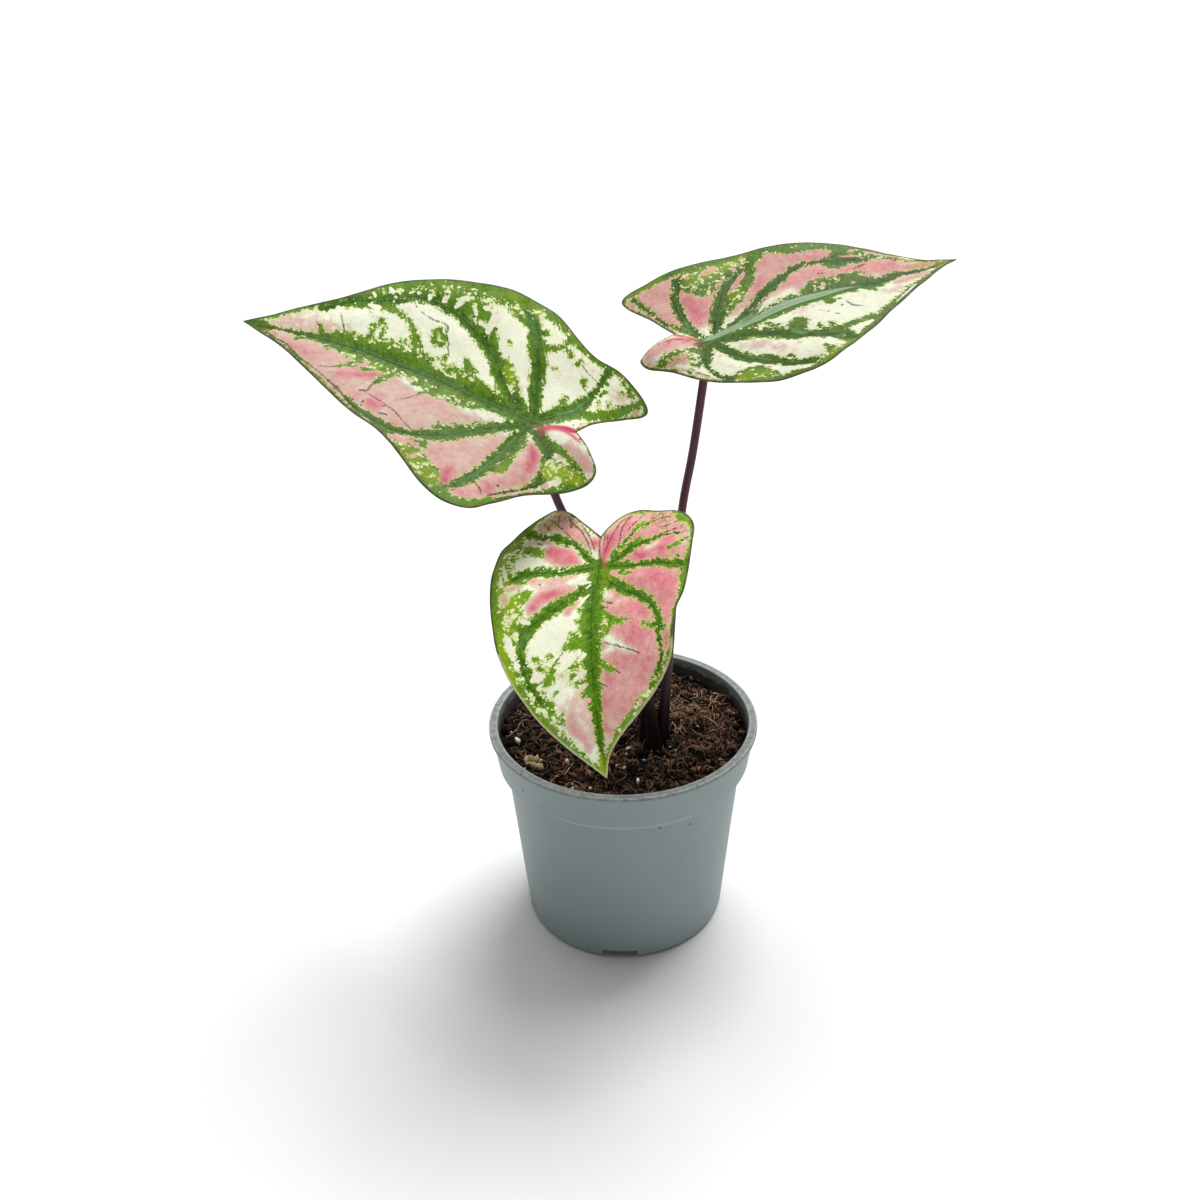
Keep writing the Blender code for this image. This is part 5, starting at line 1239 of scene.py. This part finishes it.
        (0.55, 1.2, [(2.2, -5, 0.8), (3, -8, 1.2), (3.2, -12, 1)]), (0.7, 1.2, [(5, -5, 0.8)]),
        (0.88, 1.2, [(5.6, -6.4, 1), (6.2, -10, 1.4), (8.4, -12, 1.2)]),
        (0.34, 1.2, [(3.6, -9, 0.8), (3.6, -11.6, 0.8)]), (0.7, 1, [(2.6, -12.8, 0.5)]),
        (0.08, 1, [(4.4, -13.4, 0.3), (5.6, -12.2, 0.3)]), (0.75, 1.2, [(7.8, -3.9, 0.5), (9.6, -5.4, 0.8)]),
        (0.5, 1.5, [(25, -3.6, 0.8), (28, -5, 1.4), (31, -5, 1)]),
        (0.8, 1.4, [(31.6, -4, 0.7), (34.4, -2.4, 0.5)]), (0.26, 1.6, [(28.6, -2, 0.6), (27, -7.6, 0.8)]),
        (0.5, 0.9, [(21.4, -6.4, 0.3)]), (0.55, 1, [(4, -15, 0.5), (4.3, -17, 0.7)]),
        (0.62, 0.9, [(5.8, -18, 0.6), (7, -17, 0.6)]), (0.35, 1, [(10, -16.6, 0.6)]),
        (0.55, 1.6, [(-7, -13, 0.6), (-6.6, -16.4, 0.5)]),
        (0.62, 1.6, [(-5, -2.6, 1.2), (-8.4, -6, 2), (-11, -8, 1.6)]), (0.9, 1, [(-4.6, -0.8, 0.8)]),
        (0.45, 1, [(-10, -13.4, 0.6)]), (0.45, 1.6, [(-12.6, -8.6, 1.4), (-11, -11.4, 1.2)]),
    ],
    rose=[
        (0.6, 0.8, [(0.6, 1.2, 0.5), (-0.8, 0.8, 0.5)]),
        (0.8, 0.8, [(-6.2, 0, 0.4), (-4.4, 0, 0.3), (-1.6, 0.2, 0.3)]),
        (0.35, 1.4, [(-5.4, -1, 1), (-3.4, -0.6, 0.8)]), (0.35, 1.4, [(-5, 2.0, 1.2), (-2, 1.2, 0.8)]),
        (0.7, 0.9, [(-1.2, 0.9, 0.5), (0.2, 1.3, 0.3)]),
    ],
    fleck=[
        (1.0, 2, [(-4, -18.4, 1.2), (2, -18.4, 1.6), (7, -16.6, 2.4), (13, -16.6, 2), (20, -15, 1.4)]),
        (0.9, 1.5, [(20, -14.8, 1.2), (24, -12.8, 1.2), (28, -9.6, 1), (32, -6.4, 0.8)]),
        (0.9, 1, [(19.4, -3, 0.9), (23, -3, 1.2), (18.6, -10, 1), (21, -9, 1)]),
        (0.8, 1, [(12, 2.2, 1), (14.6, 2, 0.5)]), (0.6, 1, [(9, 2.4, 0.6)]),
        (0.9, 1, [(22, 14.2, 0.8), (26, 11.2, 0.9), (30, 7.4, 0.8)]),
        (0.9, 1, [(-2, -18, 1.2), (-5, -17.6, 0.8)]), (0.5, 1, [(16, -4.6, 1)]),
        (0.6, 1, [(0, -12, 0.8), (0.8, -5, 0.6)]), (0.6, 1, [(-4, -13.6, 0.8)]),
    ],
    yellow=[
        (0.75, 2, [(-4, -18.6, 1.2), (0, -19.6, 1), (6, -17, 2), (9, -16, 1.6), (14, -18, 1),
         (22, -15.4, 0.6)]), (1.0, 1.2, [(36.8, -0.6, 0.8), (40, 0, 0.8)]),
        (0.5, 1, [(1.6, 1.4, 0.8), (4, 2.6, 0.6)]), (0.5, 0.8, [(-9, 9.6, 0.4)]), (0.5, 1, [(24, 13.2, 0.6)]),
        (0.5, 1, [(-9.4, 4.6, 0.6), (-7.6, 3.4, 0.6)]),
    ],
    # Painted sheen: where the green takes a pale bluish reflection.
    blue=[
        (0.25, 0.9, [(13, -13, 0.8), (16, -14, 0.6)]), (0.45, 0.9, [(31, -9, 0.6), (35, -5, 0.6)]),
        (0.45, 0.9, [(28, 9.4, 0.5), (32, 5.2, 0.5), (35, 2.4, 0.4)]), (0.4, 0.9, [(25, 12.6, 0.4)]),
        (0.4, 0.8, [(-1.6, 3.2, 0.4)]), (0.3, 0.8, [(22, -8.6, 0.5)]),
    ],
    tan=[
        (0.62, 2, [(-6.2, 13.6, 2.6), (-9, 9, 1)]),
        (0.5, 1.2, [(-3.6, 17.4, 1), (0, 18.8, 0.6), (3, 18.2, 0.6)]),
        (0.5, 1, [(-8.6, 5, 0.8), (-7, 2.6, 0.4)]), (0.78, 2, [(-12.8, -9.4, 2), (-10.6, -12, 2)]),
        (0.6, 1.2, [(-12, -6.4, 1.2), (-8, -3.4, 0.7)]), (0.5, 1, [(-6.8, -15.6, 0.5)]),
        (0.6, 0.8, [(17, 14.8, 0.4), (20, 14.6, 0.3)]), (0.5, 1, [(38, 0, 0.6)]),
    ],
    lines=[
        [(16.6, 2.2, 0.1), (17.6, 4.6, 0.08), (19.4, 8.6, 0.14), (20, 9.4, 0)],
        [(22, 4.4, 0.12), (22.8, 5.6, 0.06)], [(23.8, 1, 0.12), (24.6, 2.3, 0.12)],
        [(17.5, -6, 0.1), (19.6, -7.8, 0.14)], [(0.2, 0.5, 0.08), (-3, 0.1, 0.14), (-6, 0.1, 0.16)],
        [(-2.5, 13, 0.15), (-2, 16, 0.12), (-1.4, 18.8, 0.1)], [(0, 19, 0.1), (0.3, 17.6, 0.12)],
        [(1, 16.4, 0.1), (1.2, 15, 0.14)], [(-3.6, 5.4, 0.12), (-6, 8, 0.1)],
        [(-6.3, 10, 0.14), (-6.8, 13.4, 0.16), (-6.2, 15, 0.08)], [(-7.6, 13, 0.1), (-6.6, 13.2, 0.16)],
        [(-1, 3.4, 0.1), (-4, 4.3, 0.1), (-7, 4.8, 0.12), (-9.4, 6.2, 0.12)],
        [(-2.6, -1.6, 0.1), (-5.4, -2.6, 0.12), (-8.4, -4.4, 0.12), (-10.6, -6.4, 0.2), (-12.6, -7.6, 0.1)],
        [(-10.6, -6.8, 0.2), (-9.6, -6.4, 0.25)], [(-13, -9.6, 0.12), (-11, -9.4, 0.1)],
        [(-11.4, -12.4, 0.14), (-9.6, -11.2, 0.1)], [(-6.6, -13, 0.2), (-6.2, -12.2, 0.12)],
        [(-6, -16.8, 0.16), (-5, -16, 0.1)], [(9.2, 3.6, 0.14), (8.8, 2.4, 0.12)],
        [(9.9, 2.6, 0.1), (9.6, 1.4, 0.12)], [(18.6, 13.6, 0.14), (21.6, 13.7, 0.16)],
        [(3.8, -10.8, 0.1), (3.6, -11.2, 0.16)], [(13.1, 6.8, 0.1), (13.3, 8, 0)],
        [(-5.8, 1.6, 0.1), (-3.4, 2, 0.06)], [(-9.8, 9, 0.06), (-8, 8, 0.12), (-6, 6, 0.1)],
        [(-8.6, 4.4, 0.1), (-5.6, 2.8, 0.12), (-2.4, 1.4, 0.08)],
        [(-3.4, 17.6, 0.08), (-3, 15, 0.12), (-2.9, 12.6, 0.08)],
        [(-8.8, 13, 0.06), (-7.6, 11.6, 0.12), (-6.6, 10.2, 0.08)],
        [(-12.6, -11.6, 0.06), (-10.8, -9.6, 0.12), (-8.6, -7.6, 0.1), (-6, -5.4, 0.06)],
        [(-9.6, -4.2, 0.08), (-6.4, -2.2, 0.12), (-3.2, -0.9, 0.08)],
        [(-5.2, 17.8, 0.08), (-4.6, 15.4, 0.12), (-4.4, 12.8, 0.06)], [(-7, 1.2, 0.1), (-4, 0.9, 0.1)],
    ],
)


def stroke_depth(s, t, stroke):
    """How far each point lies inside a stroke, in millimetres: its half-width at the nearest point of its
    middle line, less the distance to that point. Outside it the value is negative."""
    curve = smooth_curve(stroke if len(stroke) > 1 else [*stroke, *stroke], 3)
    depth = np.full(s.shape, -99.0)
    for a, b in zip(curve[:-1], curve[1:]):
        run = b[:2] - a[:2]
        u = np.clip(((s - a[0]) * run[0] + (t - a[1]) * run[1]) / (run @ run + 1e-9), 0, 1)
        distance = np.hypot(s - a[0] - u * run[0], t - a[1] - u * run[1])
        depth = np.maximum(depth, a[2] + u * (b[2] - a[2]) - distance)
    return depth


def washed(s, t, washes, spread=1.0):
    """A field from 0 to 1: over each wash in turn it moves towards the wash's amount, wholly within the
    stroke and less over the softness on either side of its edge."""
    value = np.zeros(s.shape)
    for amount, softness, stroke in washes:
        cover = np.clip(stroke_depth(s, t, stroke) / (softness * spread) + 0.5, 0, 1)
        value += (amount - value) * cover * cover * (3 - 2 * cover)
    return value


def leaf_fields(leaf, s, t):
    """The markings of a blade at its points, from its strokes, its washes and its green border. Tone is
    painted light and shade, how bright the tissue is made for the light that falls on it: one value right of
    the midrib, one left of it, and a blend over 6 mm. A further number, painted shade too, dims the green
    parts alone, and rim says where the hem is pale."""
    border, edge = np.full(s.shape, -99.0), np.full(s.shape, 99.0)
    for side in ("left_edge", "right_edge"):
        outline = smooth_curve([leaf["tip"], *leaf[side], leaf["sinus"]], 4)
        bare = outline * (1, 1, 0)
        for a, b, c, d in zip(outline[:-1], outline[1:], bare[:-1], bare[1:]):
            border = np.maximum(border, stroke_depth(s, t, [a, b]))
            edge = np.minimum(edge, -stroke_depth(s, t, [c, d]))
    ribs = [stroke_depth(s, t, rib) for rib in leaf["ribs"]]
    centre = [stroke_depth(s, t, [(*point[:2], 0.0) for point in rib]) for rib in leaf["ribs"]]
    greens = [stroke_depth(s, t, band) for band in leaf["greens"]]
    lines = [stroke_depth(s, t, line) for line in leaf["lines"]]
    fields = {
        "green": np.max([border, *ribs, *greens], axis=0) - 3.0 * washed(s, t, leaf.get("pale", [])),
        "rib": -np.max(centre, axis=0),
        "line": np.max(lines, axis=0),
        "edge": edge,
    }
    # Painted light and shade: each half of the blade is made brighter or darker for how the light falls on
    # it.
    right, left = leaf["tone"]
    fields["tone"] = right + (left - right) * np.clip(t / 6 + 0.5, 0, 1)
    fields["deep"] = np.full(s.shape, leaf["deep"])
    fields["rim"] = washed(s, t, leaf.get("rim", []))
    for field in ("pink", "rose", "fleck", "yellow", "blue", "tan"):
        fields[field] = washed(s, t, leaf[field], 2.0 if field == "pink" else 1.0)
    return fields


def half_grid(leaf, side, rows):
    """Places (s, t) on one half of a blade. Column c is a side vein: a parabola from its root on the midrib
    to its end on the outline, bowed back by a part of its length; row r is the way along it."""
    edge = smooth_curve([leaf["tip"][:2], *[point[:2] for point in leaf[side]], leaf["sinus"][:2]], 24)
    veins = np.arange(len(VEIN_ROOTS))
    columns = np.linspace(0, len(VEIN_ROOTS) - 1, COLUMNS + 1)
    root = np.interp(columns, veins, VEIN_ROOTS)[:, None] * np.array(leaf["tip"][:2])
    end = along(edge, np.interp(columns, veins, VEIN_ENDS), 2)
    middle = (root + end) / 2
    middle[:, 0] -= np.interp(columns, veins, VEIN_BOWS) * np.linalg.norm(end - root, axis=1)
    row = np.linspace(0, 1, rows + 1)[None, :, None]
    return root[:, None] * (1 - row) ** 2 + 2 * middle[:, None] * row * (1 - row) + end[:, None] * row**2


def grid_cells(first, columns, rows, turned_over):
    """Two triangles for each cell of a grid whose points are numbered from first, column by column."""
    i, j = np.meshgrid(np.arange(columns), np.arange(rows), indexing="ij")
    a = first + i * (rows + 1) + j
    b, c, d = a + rows + 1, a + rows + 2, a + 1
    if turned_over:
        b, d = d, b
    return np.concatenate([np.stack([a, b, c], -1).reshape(-1, 3), np.stack([a, c, d], -1).reshape(-1, 3)])


def blade(name, leaf, finish):
    """One blade: an upper sheet, a lower sheet and a rounded edge between them, as one closed shell. The
    sheets stand off the middle surface by half the thickness, and both follow its puckers: the tissue
    rises by up to 0.35 mm between the ribs, with small swellings of 4 mm."""
    sheets, faces, first = [], [], 0
    for side, over in (("left_edge", False), ("right_edge", True)):
        rims = []
        for face, rows in ((1, UPPER_ROWS), (0, LOWER_ROWS)):
            grid = half_grid(leaf, side, rows)
            places = grid.reshape(-1, 2)
            sheets.append(np.concatenate([places, np.full((len(places), 1), face)], 1))
            faces.append(grid_cells(first, COLUMNS, rows, over == (face == 1)))
            rims.append(first + np.arange(COLUMNS + 1) * (rows + 1) + rows)
            first += len(places)
        outwards = grid[:, -1] - grid[:, -2]
        outer = grid[:, -1] + EDGE_OUT * outwards / (np.linalg.norm(outwards, axis=1, keepdims=True) + 1e-6)
        sheets.append(np.concatenate([outer, np.full((COLUMNS + 1, 1), 0.5)], 1))
        bead_edge = first + np.arange(COLUMNS + 1)
        first += COLUMNS + 1
        for near, far in ((rims[0], bead_edge), (bead_edge, rims[1])):
            a, b, c, d = near[:-1], near[1:], far[1:], far[:-1]
            strip = np.concatenate([np.stack([a, b, c], -1), np.stack([a, c, d], -1)])
            faces.append(strip[:, ::-1] if over else strip)
    # Points of one sheet that lie within 0.001 mm are welded, and points of the edge within 0.05 mm.
    everything = np.concatenate(sheets)
    keys = np.round(everything * (1000, 1000, 4)).astype(int)
    keys[(keys[:, 2] == 2), :2] //= 50
    _, chosen, welded = np.unique(keys, axis=0, return_index=True, return_inverse=True)
    s, t, face = everything[chosen].T
    faces = welded.reshape(-1)[np.concatenate(faces)]
    whole = (faces[:, 0] != faces[:, 1]) & (faces[:, 1] != faces[:, 2]) & (faces[:, 2] != faces[:, 0])
    faces = faces[whole]
    fields = leaf_fields(leaf, s, t)
    rib, edge = fields["rib"], fields["edge"]
    inland = np.clip(edge / 3, 0, 1)
    pucker = PUCKER * (1 - np.exp(-((rib / 2.6) ** 2))) * inland + SWELLING * crumble(s + 90, t + 90, 3.8, 7)
    half = 0.5 * (THICK_EDGE + (THICK_MIDDLE - THICK_EDGE) * np.clip(edge / 5, 0, 1))
    ridge = RIB_RIDGE * np.exp(-((rib / 0.6) ** 2)) * np.clip(1 - np.hypot(s, t) / 52, 0.1, 1) * inland
    off = np.where(face == 1, half, np.where(face == 0, -half - ridge, 0.0)) + pucker
    points = blade_surface(leaf, s, t) + off[:, None] * blade_normal(leaf, s, t)
    fields["upper"] = face
    piece = mesh_piece(name, points, faces, finish, fields=fields)
    uv = piece.data.uv_layers.new(name="leaf")
    uv.data.foreach_set("uv", np.stack([s, t], -1)[faces.ravel()].ravel().astype(np.float32))
    return piece


def leaf_skin():
    """Caladium tissue. The green field is roughened by noise and by small cells, so its edge breaks into
    flecks; the rest runs from cream to pink. Thin dark veins, a hem and a wax-like gloss go over it, a bluish
    painted sheen lies on parts of the green, and each leaf's colours are brightened or dimmed as painted
    light and shade."""
    finish = Finish("caladium leaf", Metallic=0.0, Specular_IOR_Level=0.12)
    spot = finish.node("ShaderNodeUVMap", {"uv_map": "leaf"}, {})
    sway = finish.node("ShaderNodeTexNoise", {}, {"Vector": spot, "Scale": 0.8, "Detail": 2.0}, 1)
    sway = finish.node("ShaderNodeVectorMath", {"operation": "SUBTRACT"}, {0: sway, 1: (0.5, 0.5, 0.5)})
    sockets = {0: sway, 1: (1.6, 1.6, 0.0), 2: spot}
    bent = finish.node("ShaderNodeVectorMath", {"operation": "MULTIPLY_ADD"}, sockets)
    out = finish.part(spot, "Y").maths("ABSOLUTE")
    swept = finish.part(spot, "X") - out * 0.55
    combed = finish.node("ShaderNodeCombineXYZ", {}, {0: swept, 1: out * 0.28})
    green, rib, line, edge = (finish.field(name) for name in ("green", "rib", "line", "edge"))
    pink, rose, fleck, yellow, blue, tan = (
        finish.field(name) for name in ("pink", "rose", "fleck", "yellow", "blue", "tan")
    )
    broad = finish.noise(spot, 0.42, 2.0, 0.5)
    ragged = finish.noise(spot, 0.95, 2.0, 0.6)
    teeth = finish.noise(combed, 2.4, 2.0, 0.6)
    bit = finish.chance(spot, 2.1)
    fine = finish.noise(spot, 4.0, 3.0, 0.6)
    rough = (broad - 0.5) * 0.9 + (ragged - 0.5) * 1.7 + (teeth - 0.5) * 1.7 + (bit - 0.5) * 0.5
    reach = green * (1.0 - 0.4 * fleck) + rough * (1.0 + 0.4 * fleck) + 0.16
    inside = reach.rise(-0.05, 0.05)
    halo = (reach + (fine - 0.5) * 0.6).rise(-0.5, 0.0)

    soft = finish.noise(spot, 0.3, 3.0, 0.6)
    mottle = finish.cells(spot, 0.9, "SMOOTH_F1")
    uneven = (soft - 0.5) * 0.5 + (ragged - 0.5) * 0.3 + (mottle - 0.4) * 0.25 + (fine - 0.5) * 0.4
    flush = (pink + uneven).rise(-0.1, 1.1)
    pale = finish.blend(shade(236, 238, 213), shade(216, 187, 172), flush.rise(0.06, 0.34))
    pale = finish.blend(pale, shade(218, 164, 156), flush.rise(0.32, 0.62))
    pale = finish.blend(pale, shade(214, 132, 139), flush.rise(0.6, 0.86))
    pale = finish.blend(pale, shade(200, 96, 116), flush.rise(0.86, 1.0))
    stain = (broad * 0.5 + mottle * 0.3 + fine * 0.4).rise(0.5, 0.85)
    stained = finish.blend(shade(212, 212, 182), shade(196, 120, 108), flush)
    pale = finish.blend(pale, stained, stain * 0.4)
    lace = finish.cells(bent, 0.62, "DISTANCE_TO_EDGE").fall(0.0, 0.09)
    thread = finish.blend(shade(190, 196, 160), shade(164, 92, 92), flush)
    pale = finish.blend(pale, thread, lace * (0.12 + 0.3 * flush))
    brown = (tan + (ragged - 0.5) * 1.6 + (fine - 0.5) * 1.4).rise(0.3, 0.75)
    dry = finish.blend(shade(172, 126, 78), shade(208, 154, 124), (mottle * 0.5 + fine).rise(0.45, 0.95))
    pale = finish.blend(pale, dry, brown * 0.75)
    pale = finish.blend(pale, shade(110, 70, 44), lace * brown * 0.5)
    pale = finish.blend(pale, shade(212, 222, 112), yellow * 0.35)
    pale = finish.blend(pale, shade(186, 204, 104), halo * 0.75)
    pale = finish.blend(pale, shade(196, 44, 88), rose)

    depth = finish.noise(spot, 0.8, 3.0, 0.6) * 0.55 + finish.noise(combed, 1.5, 3.0, 0.65) * 0.55
    grown = (depth * 1.3 + fine * 0.8 - rib.fall(0.2, 2.4) * 0.22 - 0.48).rise(0.15, 0.85)
    leaf_green = finish.blend(shade(38, 84, 0), shade(120, 162, 40), grown)
    # Painted shade: each leaf's greens are dimmed for the light that falls on it.
    leaf_green = finish.dim(leaf_green, finish.field("deep"))
    leaf_green = finish.blend(leaf_green, shade(150, 176, 20), yellow * (0.3 + 0.9 * ragged))
    # Painted sheen: the bluish washes paint a pale reflection onto the green.
    painted_sheen_colour = finish.blend(shade(100, 144, 84), shade(150, 172, 138), blue.rise(0.4, 1.0))
    leaf_green = finish.blend(leaf_green, painted_sheen_colour, blue.rise(0.0, 0.8))
    leaf_green = finish.blend(leaf_green, shade(126, 104, 44), brown * 0.6)
    dot = finish.cells(bent, 1.35)
    luck = finish.chance(bent, 1.35)
    size = fleck * 0.42 + reach.fall(0.1, 1.6) * rib.rise(0.6, 1.8) * 0.28 + (luck - 0.5) * 0.7 - 0.14
    speckled = (size - dot + (fine - 0.5) * 0.6 + (teeth - 0.5) * 0.5).rise(0.0, 0.1) * inside
    bleached = (luck + fine * 0.5 - 0.25).rise(0.35, 0.8)
    speckle = finish.blend(shade(160, 186, 60), shade(230, 232, 176), bleached)
    leaf_green = finish.blend(leaf_green, speckle, speckled * (0.95 - blue * 0.4))
    leaf_green = finish.blend(leaf_green, shade(150, 50, 70), rose * 0.7)

    colour = finish.blend(pale, leaf_green, inside)
    vein = (line + (teeth - 0.5) * 0.8 + (fine - 0.5) * 0.5 + 0.1).rise(0.0, 0.15)
    reddish = flush.rise(0.4, 0.7) * (1.0 - inside)
    crease = finish.blend(shade(62, 88, 28), shade(104, 52, 54), reddish)
    colour = finish.blend(colour, crease, vein * (0.85 - 0.3 * rose))
    groove = rib.fall(0.05, 0.3)
    # In the midrib's groove the green darkens, and the bluish washes paint their sheen there too.
    sunk = finish.blend(shade(40, 84, 14), shade(122, 158, 112), blue)
    colour = finish.blend(colour, sunk, groove * 0.5 * inside)
    hem = (edge + (ragged - 0.5) * 0.5).fall(0.15, 0.5)
    seam = finish.blend(shade(58, 74, 38), shade(108, 88, 62), soft.rise(0.45, 0.6))
    seam = finish.blend(seam, shade(206, 204, 150), finish.field("rim") * (0.4 + ragged))
    colour = finish.blend(colour, seam, hem * 0.9)
    under = finish.blend(shade(172, 180, 142), shade(200, 150, 144), flush)
    under = finish.blend(under, shade(100, 130, 76), inside * 0.85)
    # Painted light and shade: the whole colour is brightened or dimmed, half by half, for how the light
    # falls.
    colour = finish.dim(finish.blend(under, colour, finish.field("upper")), finish.field("tone"))

    net = finish.cells(spot, 1.25, "DISTANCE_TO_EDGE").rise(0.0, 0.25)
    relief = net * 0.3 + fine * 0.35 + soft * 1.2 - groove * 0.8 - vein * 0.5
    return finish.surface(colour, 0.46 + 0.14 * ragged - 0.06 * inside, relief, 0.07)


painted = leaf_skin()
for place, leaf in LEAVES.items():
    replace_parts(blade(f"leaf_blade_{place}", leaf, painted), f"blade_{place}")


# The floor, the light and the camera.
# A white sweep under a wide, soft light from above and behind, with a weak, low light from the camera's side;
# the camera stands 0.22 m in front and looks down at the pot.

FLOOR_SIZE = 60.0
# The sky is brighter the further a direction leans up and to the back.
SKY_LEAN = (0.0, 0.9, 1.0)
SKY = {"From Min": 0.15, "From Max": 1.15, "To Min": 0.02, "To Max": 1.1}
# Each lamp is its name, how wide it looks in degrees, its strength, and the way towards it.
LAMPS = (("soft_key", 32, 2.85, (0.2, 0.35, 0.95)), ("low_fill", 60, 0.6, (0.0, -1.0, 0.15)))
CAMERA_PLACE = (0.00557, -0.22378, 0.20258)
CAMERA_TILT = 61.35
CAMERA_SHIFT = -0.0402
FOCAL_LENGTH = 36.0
SENSOR_WIDTH = 36.0


def paper_white():
    """Matt white paper with a faint cloud in it."""
    finish = Finish("white paper sweep", Metallic=0.0, Specular_IOR_Level=0.1)
    grain = finish.noise(finish.place(), 40.0, 2.0)
    return finish.surface(finish.blend(shade(226, 226, 226), shade(229, 229, 229), grain), 0.9)


bpy.ops.mesh.primitive_plane_add(size=FLOOR_SIZE, location=(0.0, 0.0, 0.0))
sweep = bpy.context.object
sweep.name = "paper_sweep"
sweep.data.materials.append(paper_white())

world = bpy.data.worlds.new("soft room")
world.use_nodes = True
bpy.context.scene.world = world
tree = world.node_tree
direction = tree.nodes.new("ShaderNodeTexCoord")
lean = tree.nodes.new("ShaderNodeVectorMath")
lean.operation = "DOT_PRODUCT"
lean.inputs[1].default_value = SKY_LEAN
ramp = tree.nodes.new("ShaderNodeMapRange")
ramp.interpolation_type = "SMOOTHSTEP"
for name, value in SKY.items():
    ramp.inputs[name].default_value = value
tree.links.new(direction.outputs["Generated"], lean.inputs[0])
tree.links.new(lean.outputs["Value"], ramp.inputs["Value"])
tree.links.new(ramp.outputs[0], tree.nodes["Background"].inputs["Strength"])
tree.nodes["Background"].inputs["Color"].default_value = (1.0, 1.0, 1.0, 1.0)

for name, spread, energy, towards in LAMPS:
    data = bpy.data.lights.new(name, "SUN")
    data.angle = math.radians(spread)
    data.energy = energy
    lamp = bpy.data.objects.new(name, data)
    bpy.context.scene.collection.objects.link(lamp)
    lamp.rotation_euler = Vector(towards).to_track_quat("Z", "Y").to_euler()

camera_data = bpy.data.cameras.new("camera")
camera_data.lens = FOCAL_LENGTH
camera_data.sensor_width = SENSOR_WIDTH
camera_data.shift_x = CAMERA_SHIFT
camera = bpy.data.objects.new("camera", camera_data)
bpy.context.scene.collection.objects.link(camera)
camera.location = CAMERA_PLACE
camera.rotation_euler = (math.radians(CAMERA_TILT), 0.0, 0.0)
bpy.context.scene.camera = camera
bpy.context.scene.view_settings.view_transform = "Standard"
